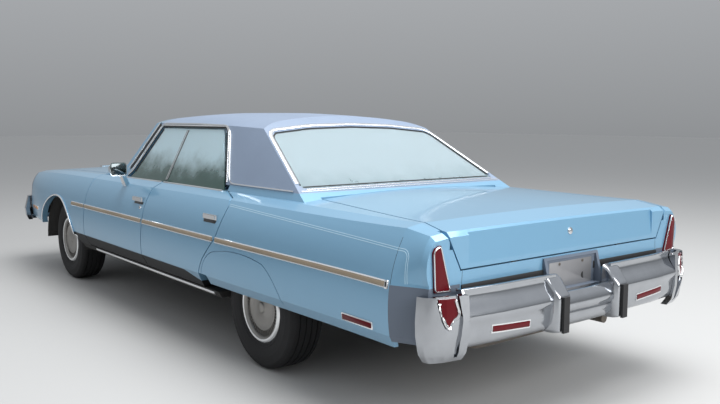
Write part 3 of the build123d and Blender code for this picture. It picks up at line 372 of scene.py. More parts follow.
tan_insert = grained("tan_insert", (0.30, 0.24, 0.17), 0.5, 90.0, 0.2, mottle=0.5)
pinstripe_white = dust_and_shade("pinstripe_white", (0.42, 0.62, 0.74), 0.35, coat=0.4, amount=0.1)
red_lens = dust_and_shade("red_lens", (0.105, 0.003, 0.007), 0.22, amount=0.05)
red_lens.node_tree.nodes["Principled BSDF"].inputs["Specular IOR Level"].default_value = 0.2
amber_lens = dust_and_shade("amber_lens", (0.75, 0.28, 0.03), 0.16, amount=0.1, coat=0.6)
mirror_silver = dust_and_shade("mirror_silver", (0.10, 0.115, 0.12), 0.06, metallic=1.0, amount=0.1)
lamp_black = dust_and_shade("lamp_black", (0.015, 0.015, 0.016), 0.35, amount=0.2)
print("materials so far:", len(bpy.data.materials))

# %% [markdown]
# Below the body's tuck the fenders and doors get painted shade: there the surface turns under, so it is
# painted near-black as shade and a dark reflection of the ground. The shade could be a panel of its own,
# but the shader changes colour at a line of height.

# %% Painted shade below the tuck
# The line is lower towards the rear wheel and ends at the front one
SHADE_LINE_Z = 0.462
SHADE_LINE_LOW_Z = 0.417
SHADE_LINE_DROP_X = (-0.88, -0.70)
SHADE_LINE_END_X = (1.40, 1.45)
SHADE_LINE_END_DROP = 0.2
# Colour of the painted shade below the tuck
PAINTED_SHADE_BLACK = (0.010, 0.011, 0.013, 1)
EDGE_SHARPNESS = 500.0
SHADE_BAND_ROUGHER = 0.2


def carried(tree, value, start, end, interpolation="LINEAR"):
    """A value carried from one range to another, each given as its low and high end."""
    node = tree.nodes.new("ShaderNodeMapRange")
    node.interpolation_type = interpolation
    for label, number in zip(("From Min", "From Max", "To Min", "To Max"), (*start, *end)):
        node.inputs[label].default_value = number
    wire(tree, value, node.inputs["Value"])
    return node.outputs["Result"]


def masked_by_line(tree, where):
    """1 below the upper line of the painted shade under the tuck and 0 above it."""
    axes = tree.nodes.new("ShaderNodeSeparateXYZ")
    wire(tree, where, axes.inputs[0])
    rear_drop = carried(tree, axes.outputs["X"], SHADE_LINE_DROP_X, (SHADE_LINE_LOW_Z, SHADE_LINE_Z))
    nose_drop = carried(tree, axes.outputs["X"], SHADE_LINE_END_X, (0.0, SHADE_LINE_END_DROP))
    line = math_node(tree, "SUBTRACT", rear_drop, nose_drop)
    depth = math_node(tree, "SUBTRACT", line, axes.outputs["Z"])
    below = math_node(tree, "MULTIPLY", depth, EDGE_SHARPNESS)
    return math_node(tree, "MAXIMUM", math_node(tree, "MINIMUM", below, 1.0), 0.0)


# The paint turns to near-black painted shade below the line
paint_with_painted_shade, band_tree, band_shader = new_material("paint_with_painted_shade")
band_dirt = place_group(band_tree, dirt_and_shade_group, {
    "Colour": (*PAINT_COLOUR, 1), "Roughness": PAINT_ROUGHNESS, "Amount": PAINT_DIRT,
})
band_where = band_tree.nodes.new("ShaderNodeTexCoord").outputs["Object"]
painted_shade_mask = masked_by_line(band_tree, band_where)
painted_shade_mix = mix_colours(band_tree, painted_shade_mask, band_dirt.outputs["Colour"], PAINTED_SHADE_BLACK)
wire(band_tree, painted_shade_mix, band_shader.inputs["Base Color"])
band_rough = math_node(band_tree, "MULTIPLY", painted_shade_mask, SHADE_BAND_ROUGHER)
band_rough = math_node(band_tree, "ADD", band_dirt.outputs["Roughness"], band_rough)
wire(band_tree, band_rough, band_shader.inputs["Roughness"])
band_coat = math_node(band_tree, "MULTIPLY", math_node(band_tree, "SUBTRACT", 1.0, painted_shade_mask), PAINT_COAT)
wire(band_tree, band_coat, band_shader.inputs["Coat Weight"])
band_shader.inputs["Coat Roughness"].default_value = COAT_ROUGHNESS
band_shader.inputs["Metallic"].default_value = PAINT_METALLIC
print("black below, m:", SHADE_LINE_Z)

# %% [markdown]
# The windows are misted on the inside: dark and clear low down, pale above, with a ragged edge. Fog in
# the cabin would be slow and noisy, so the mist is a second colour of the glass, mixed in by height.

# %% Misted glass
# How far drops and runs move the mist's edge up and down, and how rough clear and misted glass are
MIST_RAGGED = 0.22
CLEAR_ROUGH = 0.15
MIST_ROUGHENS = 0.35
CLOUD_ROUGHENS = 0.1
PANE_IOR = 1.15
PANE_COAT_ROUGHNESS = 0.03


def misted(name, clear_colour, mist_colour, mist_levels, transmission):
    """Glass misted on the inside: clearer and darker low down, with a ragged edge between two levels."""
    material, tree, shader = new_material(name)
    where = tree.nodes.new("ShaderNodeTexCoord").outputs["Object"]
    height = tree.nodes.new("ShaderNodeSeparateXYZ")
    wire(tree, where, height.inputs[0])
    cloud = noise_node(tree, where, 7.0, 6.0, 0.6)
    ragged = math_node(tree, "MULTIPLY", math_node(tree, "SUBTRACT", cloud, 0.5), MIST_RAGGED)
    level = math_node(tree, "ADD", height.outputs["Z"], ragged)
    mist = carried(tree, level, mist_levels, (0.0, 1.0), "SMOOTHSTEP")
    tint = mix_colours(tree, mist, (*clear_colour, 1), (*mist_colour, 1))
    wire(tree, tint, shader.inputs["Base Color"])
    rough = math_node(tree, "ADD", math_node(tree, "MULTIPLY", mist, MIST_ROUGHENS), CLEAR_ROUGH)
    rough = math_node(tree, "ADD", rough, math_node(tree, "MULTIPLY", cloud, CLOUD_ROUGHENS))
    wire(tree, rough, shader.inputs["Roughness"])
    shader.inputs["Transmission Weight"].default_value = transmission
    shader.inputs["IOR"].default_value = PANE_IOR
    shader.inputs["Coat Weight"].default_value = 1.0
    shader.inputs["Coat Roughness"].default_value = PANE_COAT_ROUGHNESS
    return material


side_glass = misted("side_glass", (0.045, 0.125, 0.105), (0.70, 0.89, 0.96), (0.98, 1.17), 0.45)
screen_glass = misted("screen_glass", (0.36, 0.475, 0.515), (0.49, 0.60, 0.645), (0.95, 1.12), 0.50)

print("misted:", side_glass.name, screen_glass.name)

# %% [markdown]
# The car's record names a material slot for each node, and each slot has one finish here. A few nodes
# need another finish than their slot's, so a second table goes before the first.

# %% Finishes on the CAD nodes
FINISH_OF_SLOT = {
    "body_paint": blue_paint, "vinyl": vinyl_roof, "chrome": chrome_plate, "glass": screen_glass,
    "trim_grey": grey_urethane, "black_rubber": black_rubber, "tyre": tyre_rubber,
    "wheel_metal": cover_silver, "underside": underseal, "iron": dull_iron, "steel": dull_steel,
    "red_lens": red_lens, "amber_lens": amber_lens, "upholstery": blue_velour,
    "cabin_plastic": blue_plastic,
}
slot_of_node = {entry["node"]: entry["material_slot"] for entry in frame["record"]["subparts"]}
FINISH_OF_NODE = {"front_bumper": shaded_bumper_chrome}
for side_name, side in SIDES:
    for panel in ("front_fender", "front_door", "rear_door"):
        FINISH_OF_NODE[f"{panel}_{side_name}"] = paint_with_painted_shade
    for pane in ("front_door_glass", "rear_door_glass"):
        FINISH_OF_NODE[f"{pane}_{side_name}"] = side_glass
for name, node in nodes.items():
    finish = FINISH_OF_NODE.get(name, FINISH_OF_SLOT[slot_of_node[name]])
    node.data.materials.clear()
    node.data.materials.append(finish)
print("finishes on", len(nodes), "CAD nodes")

# %% [markdown]
# Trim has to lie on the panels it is fixed to. Its place could be typed in, but then any change of a
# panel would leave it hanging. Here a ray is sent at the panel and the trim takes the point it meets.

# %% Finding the panels' surface
# Rays start outside the car, at these distances from its middle and from the ground
SIDE_START = 1.3
TOP_START = 2.0
END_START = 3.3
BODY_OF = {}
for body, members in frame["record"]["behaviour"]["bodies"].items():
    for member in members:
        BODY_OF[member] = body
surfaces = {}


def tree_of(mesh):
    places = [vertex.co for vertex in mesh.vertices]
    return BVHTree.FromPolygons(places, [face.vertices for face in mesh.polygons])


def surface_of(name):
    """The search tree of a CAD node, or of a piece that has been put in surfaces."""
    if name not in surfaces:
        surfaces[name] = tree_of(nodes[name].data)
    return surfaces[name]


def cast(names, start, direction):
    """The first point, and the outward direction there, that a ray meets on the named surfaces."""
    nearest = None
    for name in names:
        place, out, _, distance = surface_of(name).ray_cast(Vector(start), Vector(direction))
        if place is not None and (nearest is None or distance < nearest[2]):
            nearest = (place, out, distance)
    if nearest is None:
        raise ValueError(f"no surface of {names} is met from {start}")
    return nearest[:2]


def from_side(names, side, x, z):
    return cast(names, (x, side * SIDE_START, z), (0, -side, 0))


def from_above(names, x, y):
    return cast(names, (x, y, TOP_START), (0, 0, -1))


def from_behind(names, y, z):
    return cast(names, (-END_START, y, z), (1, 0, 0))


def from_ahead(names, y, z):
    return cast(names, (END_START, y, z), (-1, 0, 0))


print("bodies:", len(set(BODY_OF.values())))

# %% [markdown]
# Trim turns its corners in small bends. A Bezier curve would bend too, but its points are not evenly
# spaced and each one needs a ray, so a line of corners is rounded and cut into even steps here.

# %% Rounded lines
CORNER_STEPS = 6


def rounded_line(corners, step, radius=0.0):
    """Points along a flat line of corners, about a step apart, with the inner corners rounded."""
    corners = [Vector(corner) for corner in corners]
    stops = [corners[0]]
    for before, corner, after in zip(corners, corners[1:], corners[2:]):
        cut = min(radius, (corner - before).length * 0.45, (after - corner).length * 0.45)
        start = corner + (before - corner).normalized() * cut
        end = corner + (after - corner).normalized() * cut
        if cut == 0:
            stops.append(corner)
            continue
        for index in range(CORNER_STEPS + 1):
            share = index / CORNER_STEPS
            stops.append(start.lerp(corner, share).lerp(corner.lerp(end, share), share))
    stops.append(corners[-1])
    line = [stops[0]]
    for before, after in zip(stops, stops[1:]):
        pieces = max(1, round((after - before).length / step))
        line += [before.lerp(after, (index + 1) / pieces) for index in range(pieces)]
    return line


print("steps round a corner:", CORNER_STEPS)

# %% [markdown]
# Long trim is rolled or drawn: one small section all along its length. A curve with a bevel would do
# it, but a bevel can't be kept upright on a curving panel. So the section is carried along the points
# by a short loop that turns it to the panel's own outward direction.

# %% Strips carried along a line
MERGE_WITHIN = 0.00001


def object_from(name, bm):
    mesh = bpy.data.meshes.new(name)
    bm.to_mesh(mesh)
    bm.free()
    return add_object(name, mesh)


def new_piece(name, bm, finish, body, sharp=35.0):
    """Turns a bmesh into a piece that rides on a body, smooth except at its sharp edges."""
    bmesh.ops.remove_doubles(bm, verts=bm.verts, dist=MERGE_WITHIN)
    bmesh.ops.recalc_face_normals(bm, faces=bm.faces)
    for face in bm.faces:
        face.smooth = True
    for edge in bm.edges:
        if len(edge.link_faces) == 2 and edge.calc_face_angle() > math.radians(sharp):
            edge.smooth = False
    piece = object_from(name, bm)
    piece.data.materials.append(finish)
    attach(piece, body)
    return piece


def join_rings(bm, rings, closed=False, capped=True):
    """Faces between rings of vertices, which close in a loop or end in two flat caps."""
    following = rings[1:] + rings[:1] if closed else rings[1:]
    for low, high in zip(rings, following):
        for k in range(len(low)):
            n = (k + 1) % len(low)
            bm.faces.new((low[k], low[n], high[n], high[k]))
    if capped and not closed:
        bm.faces.new(rings[0])
        bm.faces.new(reversed(rings[-1]))


def sweep(bm, places, outs, section, closed=False):
    """Carries a section, given as across and outward distances, along places on a surface."""
    rings = []
    for index, (place, out) in enumerate(zip(places, outs)):
        before = places[index - 1] if index or closed else place
        after = places[(index + 1) % len(places)] if closed or index < len(places) - 1 else place
        along = (after - before).normalized()
        across = out.cross(along).normalized()
        upright = along.cross(across)
        rings.append([bm.verts.new(place + across * a + upright * o) for a, o in section])
    join_rings(bm, rings, closed)


# How far the trim is sunk into its panel, and the steps of a half-round section
SUNK = 0.002
ARC_STEPS = 6


def half_round(width, height):
    """The section of a half-round bead, sunk a little into the panel."""
    half = width / 2
    angles = [math.pi * k / ARC_STEPS for k in range(ARC_STEPS + 1)]
    arc = [(half * math.cos(angle), height * math.sin(angle)) for angle in angles]
    return [(half, -SUNK)] + arc + [(-half, -SUNK)]


def strip(name, hits, section, finish, body, closed=False):
    """One strip of trim over a list of ray hits."""
    bm = bmesh.new()
    sweep(bm, [hit[0] for hit in hits], [hit[1] for hit in hits], section, closed)
    return new_piece(name, bm, finish, body)


print("points in a half-round section:", len(half_round(0.010, 0.005)))

# %% [markdown]
# A moulding with a tan vinyl insert between bright edges protects the doors. It is cut at each door
# gap, with a piece on each panel, so that every piece swings with its own door.

# %% Side mouldings
MOULDING_Z = 0.690
MOULDING_EDGE = [
    (-0.0175, -0.003), (-0.0175, 0.004), (-0.0150, 0.0070), (-0.0115, 0.0060), (-0.0110, 0.0030),
    (0.0110, 0.0030), (0.0115, 0.0060), (0.0150, 0.0070), (0.0175, 0.004), (0.0175, -0.003),
]
MOULDING_INSERT = [
    (-0.0108, 0.0020), (-0.0108, 0.0060), (-0.0060, 0.0082), (0.0060, 0.0082), (0.0108, 0.0060),
    (0.0108, 0.0020),
]
# Panel, rear end and front end of its length of moulding
MOULDING_RUNS = (
    ("front_fender", 1.082, 1.363), ("front_door", -0.042, 1.060), ("rear_door", -1.068, -0.070),
    ("quarter", -2.622, -1.102),
)
STEP = 0.045
for side_name, side in SIDES:
    for panel, rear_x, front_x in MOULDING_RUNS:
        node = f"{panel}_{side_name}"
        stops = rounded_line([(rear_x, MOULDING_Z), (front_x, MOULDING_Z)], STEP)
        hits = [from_side([node], side, x, z) for x, z in stops]
        strip(f"moulding_edge_{node}", hits, MOULDING_EDGE, bright_steel, BODY_OF[node])
        strip(f"moulding_insert_{node}", hits, MOULDING_INSERT, tan_insert, BODY_OF[node])
print("moulding runs:", 2 * len(MOULDING_RUNS))

# %% [markdown]
# A bright moulding closes the lower edge of the sill. It is plain rolled steel, so a low half-round
# section is enough.

# %% Sill mouldings
SILL_LINE_Z = 0.352
SILL_ENDS = (-0.985, 0.977)
for side_name, side in SIDES:
    stops = rounded_line([(x, SILL_LINE_Z) for x in SILL_ENDS], 0.08)
    hits = [from_side(["floor_pan"], side, x, z) for x, z in stops]
    strip(f"sill_moulding_{side_name}", hits, half_round(0.022, 0.006), bright_steel, "body")
print("sill mouldings: 2")

# %% [markdown]
# The tyre is a ring with bulging sides, a flat tread with four grooves and a few fine ribs near the
# bead. One outline turned about the axle gives all that. Small blocks at the tread's shoulders repeat
# round the ring, so a node tree places them.

# %% Tyres
def spin(bm, outline, centre, side, turns):
    """Turns a closed outline of radius and outward distance about the axle at a centre."""
    rings = []
    for index in range(turns):
        angle = 2 * math.pi * index / turns
        c, s = math.cos(angle), math.sin(angle)
        rings.append([bm.verts.new(centre + Vector((r * c, side * y, r * s))) for r, y in outline])
    for low, high in zip(rings, rings[1:] + rings[:1]):
        for k in range(len(outline)):
            n = (k + 1) % len(outline)
            if low[k].co != high[k].co or low[n].co != high[n].co:
                bm.faces.new((low[k], low[n], high[n], high[k]))


TYRE_STEPS = 120
TYRE_R = 0.340
GROOVE = 0.007
# Radius and distance from the tyre's middle, for one side from the bead to the middle of the tread
TYRE_HALF = [
    (0.1965, 0.080), (0.1965, 0.090), (0.204, 0.0965), (0.212, 0.0985), (0.2135, 0.1015),
    (0.2165, 0.1020), (0.218, 0.1005), (0.232, 0.1045), (0.250, 0.1070), (0.266, 0.1075),
    (0.270, 0.1082), (0.274, 0.1075), (0.292, 0.1062), (0.306, 0.1030), (0.310, 0.1035),
    (0.316, 0.1010), (0.326, 0.0930), (0.3335, 0.0850), (0.3370, 0.0780), (0.3385, 0.0600),
    (0.3385 - GROOVE, 0.0585), (0.3385 - GROOVE, 0.0525), (0.3392, 0.0510), (TYRE_R, 0.0230),
    (TYRE_R - GROOVE, 0.0215), (TYRE_R - GROOVE, 0.0155), (TYRE_R, 0.0140),
]
tyre_outline = TYRE_HALF + [(r, -y) for r, y in reversed(TYRE_HALF)]
WHEELS = [
    (end, side_name, side, Vector((axle_x, side * WHEEL_Y, HUB_Z)))
    for end, axle_x in (("front", FRONT_AXLE_X), ("rear", REAR_AXLE_X))
    for side_name, side in SIDES
]
for end, side_name, side, centre in WHEELS:
    bm = bmesh.new()
    spin(bm, tyre_outline, centre, side, TYRE_STEPS)
    node = f"{end}_tyre_{side_name}"
    tyre = new_piece(f"tyre_{end}_{side_name}", bm, tyre_rubber, BODY_OF[node])
    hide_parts(node)
print("tyre outline points:", len(tyre_outline))

# %% [markdown]
# The wheel covers are pressed discs: a flat centre with a raised cap, a ring of radial slots and a
# bright rolled rim. The disc is one turned outline. The fins between the slots repeat, so they come
# from Geometry Nodes.

# %% Wheel covers
# Radius and distance outward from the wheel's middle
COVER_OUTLINE = [
    (0.0, 0.0925), (0.018, 0.0920), (0.027, 0.0895), (0.030, 0.0855), (0.034, 0.0830), (0.100, 0.0800),
    (0.112, 0.0815), (0.118, 0.0845), (0.124, 0.0850), (0.128, 0.0820), (0.130, 0.0740),
    (0.156, 0.0740), (0.158, 0.0860), (0.163, 0.0930), (0.172, 0.0985), (0.182, 0.1000),
    (0.190, 0.0975), (0.195, 0.0915), (0.194, 0.0860), (0.150, 0.0700), (0.060, 0.0700), (0.0, 0.0720),
]
COVER_STEPS = 96
RIM_FROM_R = 0.171
for end, side_name, side, centre in WHEELS:
    bm = bmesh.new()
    spin(bm, COVER_OUTLINE, centre, side, COVER_STEPS)
    body = BODY_OF[f"{end}_wheel_{side_name}"]
    cover = new_piece(f"wheel_cover_{end}_{side_name}", bm, cover_silver, body)
    cover.data.materials.append(chrome_plate)
    for face in cover.data.polygons:
        offset = face.center - centre
        if math.hypot(offset.x, offset.z) > RIM_FROM_R:
            face.material_index = 1
print("wheel covers:", len(WHEELS))

# %% [markdown]
# A bright drip rail runs up the windscreen post, over the side windows and down the rear post, and
# goes on as a bead under the vinyl. Inside it lie a bright reveal and the black seal that the door
# glass closes against. Each could be drawn by itself, but all follow the window opening, so one
# function moves that outline outward by a distance.

# %% Drip rails, reveals and seals
def outset(corners, distance):
    """A line of flat corners, moved square to itself by a distance."""
    points = [Vector(corner) for corner in corners]
    moved = []
    for index, point in enumerate(points):
        normals = []
        for start, end in ((index - 1, index), (index, index + 1)):
            if start >= 0 and end < len(points):
                run = (points[end] - points[start]).normalized()
                normals.append(Vector((run.y, -run.x)))
        middle = sum(normals, Vector((0, 0))).normalized()
        moved.append(point + middle * distance / middle.dot(normals[0]))
    return moved


def flat_bar(width, height):
    """The section of a flat bar with a small round on its outer edges."""
    half = width / 2
    return [(half, -SUNK), (half, height * 0.7), (half * 0.75, height), (-half * 0.75, height),
            (-half, height * 0.7), (-half, -SUNK)]


# Side window opening, x and z, from the windscreen post's foot round to the rear post's foot
SIDE_OPENING = [
    (0.625, 0.945), (0.556, 0.985), (0.290, 1.319), (-0.658, 1.319), (-0.699, 1.291), (-0.891, 0.991),
]
DRIP_LINE = [
    (0.640, 0.962), (0.575, 1.004), (0.302, 1.343), (-0.300, 1.343), (-0.672, 1.335), (-0.736, 1.296),
    (-0.934, 0.993), (-1.600, 0.991),
]
# Name, distance outside the opening, section and finish
OPENING_TRIMS = (
    ("window_seal", 0.004, flat_bar(0.008, 0.003), black_rubber, "black_rubber"),
    ("window_reveal", 0.0135, flat_bar(0.010, 0.004), bright_steel, "chrome"),
)
# The windscreen post is black between its two bright strips
POST_LINE = [(0.632, 1.000), (0.352, 1.338)]
POST_EDGE = [(0.668, 1.000), (0.386, 1.340)]
for side_name, side in SIDES:
    for name, corners, section, finish, slot in (
        ("post_cover", POST_LINE, flat_bar(0.052, 0.002), black_rubber, "black_rubber"),
        ("post_strip", POST_EDGE, flat_bar(0.010, 0.006), chrome_plate, "chrome"),
    ):
        line = rounded_line(corners, 0.05)
        hits = [from_side(["windscreen_frame", "roof"], side, x, z) for x, z in line]
        strip(f"{name}_{side_name}", hits, section, finish, "body")
    panels = ["roof", "windscreen_frame", f"quarter_{side_name}"]
    for name, distance, section, finish, slot in OPENING_TRIMS:
        line = rounded_line(outset(SIDE_OPENING, distance), 0.03, 1.5 * distance)
        hits = [from_side(panels, side, x, z) for x, z in line]
        strip(f"{name}_{side_name}", hits, section, finish, "body")
    line = rounded_line(DRIP_LINE, 0.03, 0.06)
    hits = [from_side(["roof", "windscreen_frame"], side, x, z) for x, z in line]
    strip(f"drip_rail_{side_name}", hits, flat_bar(0.009, 0.008), chrome_plate, "body")
    print("drip rail points:", len(line))

# %% [markdown]
# The backlight and the windscreen have bright frames, wide at the top and sides and thin along the
# bottom, with black rubber on the glass inside them. The vinyl ends under the backlight in a bead.

# %% Frames of the windscreen and the backlight
def mirrored(half):
    """A line from one side to the other, from its left half that ends at the middle."""
    return list(half) + [(-y, z) for y, z in reversed(half[:-1])]


def screen_frame(name, probe, wall, glass, top_half, bottom_half):
    """The bright frame round one screen, and the rubber on its glass."""
    parts = (
        ("frame", wall, 0.012, mirrored(top_half), flat_bar(0.024, 0.006), bright_steel, "chrome"),
        ("sill", wall, 0.005, mirrored(bottom_half), flat_bar(0.009, 0.004), bright_steel, "chrome"),
        ("seal", glass, -0.008, mirrored(top_half), flat_bar(0.009, 0.003), black_rubber, "black_rubber"),
        ("low_seal", glass, -0.006, mirrored(bottom_half), flat_bar(0.008, 0.003), black_rubber,
         "black_rubber"),
    )
    for part, panels, distance, corners, section, finish, slot in parts:
        line = rounded_line(outset(corners, distance), 0.04, 0.03)
        hits = [probe(panels, y, z) for y, z in line]
        strip(f"{name}_{part}", hits, section, finish, "body")


BACKLIGHT_TOP = [(0.742, 1.024), (0.638, 1.278), (0.600, 1.300), (0.330, 1.325), (0, 1.334)]
BACKLIGHT_LOW = [(-0.726, 1.006), (0, 1.008)]
screen_frame("backlight", from_behind, ["roof"], ["rear_window"], BACKLIGHT_TOP, BACKLIGHT_LOW)
WINDSCREEN_TOP = [(0.722, 1.000), (0.598, 1.322), (0.400, 1.350), (0, 1.356)]
WINDSCREEN_LOW = [(-0.715, 0.980), (0, 0.990)]
screen_frame("windscreen", from_ahead, ["windscreen_frame", "roof"], ["windscreen"], WINDSCREEN_TOP,
             WINDSCREEN_LOW)
line = rounded_line([(0.770, 0.991), (-0.770, 0.991)], 0.06)
hits = [from_behind(["roof"], y, z) for y, z in line]
strip("vinyl_bead", hits, flat_bar(0.009, 0.006), bright_steel, "body")
print("vinyl bead points:", len(line))

# %% [markdown]
# A hardtop's doors have no window frames. Each pane ends in a thin bright channel where the two meet,
# and the door top carries a bright belt strip that wipes the glass.

# %% Belt strips and glass channels
# Door, its strip's rear and front end as x and distance from the middle
BELT_RUNS = (
    ("front_door", (-0.034, 0.834), (0.590, 0.832)),
    ("rear_door", (-0.900, 0.836), (-0.066, 0.834)),
)
# Pane, part, line in x and z, width, height and finish
GLASS_EDGES = (
    ("front_door_glass", "channel", [(-0.128, 1.300), (-0.057, 0.962)], 0.008, 0.003, bright_steel),
    ("rear_door_glass", "channel", [(-0.148, 1.300), (-0.077, 0.962)], 0.007, 0.003, bright_steel),
    ("rear_door_glass", "seal", [(-0.155, 1.300), (-0.084, 0.962)], 0.006, 0.002, black_rubber),
    ("front_door_glass", "vent_seal", [(0.532, 0.985), (0.282, 1.300)], 0.016, 0.003, black_rubber),
)
for side_name, side in SIDES:
    for panel, rear_end, front_end in BELT_RUNS:
        node = f"{panel}_{side_name}"
        line = rounded_line([rear_end, front_end], 0.06)
        hits = [from_above([node], x, side * y) for x, y in line]
        strip(f"belt_{node}", hits, half_round(0.014, 0.007), chrome_plate, BODY_OF[node])
    for pane, part, corners, width, height, finish in GLASS_EDGES:
        node = f"{pane}_{side_name}"
        hits = [from_side([node], side, x, z) for x, z in rounded_line(corners, 0.05)]
        slot = "chrome" if finish is bright_steel else "black_rubber"
        strip(f"{part}_{node}", hits, flat_bar(width, height), finish, BODY_OF[node])
print("belt strips:", 2 * len(BELT_RUNS))

# %% [markdown]
# Two painted pinstripes run along the quarter's shoulder and turn down behind the tail lamp. Tape this
# thin could be painted in the material, but a real strip stays sharp close up.

# %% Pinstripes
PINSTRIPE = [(-1.140, 0.885), (-2.674, 0.832), (-2.690, 0.816), (-2.694, 0.700)]
PINSTRIPE_APART = 0.009
for side_name, side in SIDES:
    for name, distance in (("outer", 0.0), ("inner", PINSTRIPE_APART)):
        line = rounded_line(outset(PINSTRIPE, distance), 0.03, 0.02)
        hits = [from_side([f"quarter_{side_name}"], side, x, z) for x, z in line]
        strip(f"pinstripe_{name}_{side_name}", hits, flat_bar(0.003, 0.0006), pinstripe_white, "body")
print("pinstripes: 4")

# %% [markdown]
# The tail end of the quarter is a separate soft extension, joined at a thin seam. A black strip between the
# tail panel and the bumper is painted shadow in the gap there, drawn as rubber filler. The seam is a
# hairline, so a thin dark strip is enough and the panel needs no cut.

# %% Seams and the painted shadow above the bumper
# Lines in x and z on the side, and in distance from the middle and height on the tail
EXTENSION_SEAM = [(-2.634, 0.692), (-2.634, 0.886)]
CORNER_SEAM = [(0.742, 0.688), (0.738, 0.744)]
# Painted shadow in the gap between the tail panel and the bumper
BUMPER_GAP_SHADOW = [(0.745, 0.668), (0.178, 0.668)]
SEAM_SECTION = flat_bar(0.0018, 0.0005)
for side_name, side in SIDES:
    line = rounded_line(EXTENSION_SEAM, 0.02)
    hits = [from_side([f"quarter_{side_name}"], side, x, z) for x, z in line]
    strip(f"extension_seam_{side_name}", hits, SEAM_SECTION, lamp_black, "body")
    line = rounded_line(CORNER_SEAM, 0.02)
    hits = [from_behind(["tail_panel"], side * y, z) for y, z in line]
    strip(f"corner_seam_{side_name}", hits, SEAM_SECTION, lamp_black, "body")
    line = rounded_line(BUMPER_GAP_SHADOW, 0.06)
    hits = [from_behind(["tail_panel"], side * y, z) for y, z in line]
    strip(f"bumper_gap_shadow_{side_name}", hits, flat_bar(0.036, 0.006), black_rubber, "body")
print("bumper gap shadows: 2")

# %% [markdown]
# Lamps, locks and reflectors are small moulded plates that stand on a panel. One helper raises a plate
# with a rounded edge from any outline, square to the panel where a ray meets it.

# %% Plates on a panel
def rounded_box(width, height, radius):
    """The outline of a rounded rectangle about its middle."""
    outline = []
    for turn, (sx, sy) in enumerate(((1, 1), (-1, 1), (-1, -1), (1, -1))):
        for k in range(5):
            angle = math.radians(90 * turn + 22.5 * k)
            outline.append((sx * (width / 2 - radius) + radius * math.cos(angle),
                            sy * (height / 2 - radius) + radius * math.sin(angle)))
    return outline


def disc(radius, steps=32):
    return [(radius * math.cos(2 * math.pi * k / steps), radius * math.sin(2 * math.pi * k / steps))
            for k in range(steps)]


def raised_plate(bm, hit, up, outline, height, edge=0.001, sunk=0.003):
    """A plate with a rounded edge, standing on the surface at a hit, its outline across and up."""
    place, out = hit
    across = Vector(up).cross(out).normalized()
    upright = out.cross(across)
    rings = []
    shoulder = edge * 0.3
    levels = ((0.0, -sunk), (0.0, height - edge), (shoulder, height - shoulder), (edge, height))
    for trim, level in levels:
        ring = []
        for a, u in outline:
            reach = math.hypot(a, u)
            share = (reach - trim) / reach
            ring.append(bm.verts.new(place + across * a * share + upright * u * share + out * level))
        rings.append(ring)
    join_rings(bm, rings, capped=False)
    bm.faces.new(rings[-1])
    bm.faces.new(reversed(rings[0]))


def plate(name, hit, outline, height, finish, body, up=(0, 0, 1), edge=0.001, sunk=0.003):
    bm = bmesh.new()
    raised_plate(bm, hit, up, outline, height, edge, sunk)
    return new_piece(name, bm, finish, body)


print("steps of a disc:", len(disc(1.0)))

# %% [markdown]
# With that helper, each small fitting takes a line or two: the moulding's end cap, side marker lamps,
# locks, mirror glasses and the lid's rubber buffers. The CAD could hold them as well, but they are too
# small to touch or carry anything.

# %% Lamps, locks and mirrors
MOULDING_CAP_X = -2.616
DOOR_LOCK_X, DOOR_LOCK_Z = 0.012, 0.775
MIRROR_AT = (0.302, 1.007, 1.021)
for side_name, side in SIDES:
    # A bright cap with a dark middle closes the rear end of the side moulding
    cap_hit = from_side([f"quarter_{side_name}"], side, MOULDING_CAP_X, MOULDING_Z)
    plate(f"moulding_cap_{side_name}", cap_hit, rounded_box(0.020, 0.037, 0.004), 0.0095, bright_steel,
          "body", edge=0.002)
    plate(f"moulding_cap_middle_{side_name}", cap_hit, rounded_box(0.011, 0.022, 0.003), 0.0100,
          lamp_black, "body")
    # Side marker lamps, red behind and amber in front, each in a bright frame
    for end, panel, x, z, lens, slot in (
        ("rear", "quarter", -2.408, 0.4915, red_lens, "red_lens"),
        ("front", "front_fender", 2.440, 0.5600, amber_lens, "amber_lens"),
    ):
        node = f"{panel}_{side_name}"
        hit = from_side([node], side, x, z)
        plate(f"marker_frame_{end}_{side_name}", hit, rounded_box(0.226, 0.036, 0.005), 0.005,
              bright_steel, "body")
        plate(f"marker_lens_{end}_{side_name}", hit, rounded_box(0.212, 0.024, 0.004), 0.0075, lens, "body")
    # Key lock below each front door handle
    hit = from_side([f"front_door_{side_name}"], side, DOOR_LOCK_X, DOOR_LOCK_Z)
    body = BODY_OF[f"front_door_{side_name}"]
    plate(f"door_lock_{side_name}", hit, disc(0.012, 24), 0.004, chrome_plate, body)
    # A black bar on the lock: painted shade in the keyway
    plate(f"door_keyway_shade_{side_name}", hit, rounded_box(0.002, 0.008, 0.0008), 0.0045, lamp_black, body)
    # Mirror glass
    x, y, z = MIRROR_AT
    hit = (Vector((x, side * y, z)), Vector((-1, 0, 0)))
    plate(f"mirror_glass_{side_name}", hit, rounded_box(0.108, 0.082, 0.018), 0.0015, mirror_silver, body,
          sunk=0.001)
LID_LOCK_Z = 0.851
lock_hit = from_behind(["boot_lid"], 0.0, LID_LOCK_Z)
plate("lid_lock_ring", lock_hit, disc(0.017), 0.005, chrome_plate, "boot_lid")
plate("lid_lock_barrel", lock_hit, disc(0.009, 24), 0.0075, bright_steel, "boot_lid")
# A black bar on the barrel: painted shade in the keyway
plate("lid_keyway_shade", lock_hit, rounded_box(0.002, 0.009, 0.0008), 0.008, lamp_black, "boot_lid")
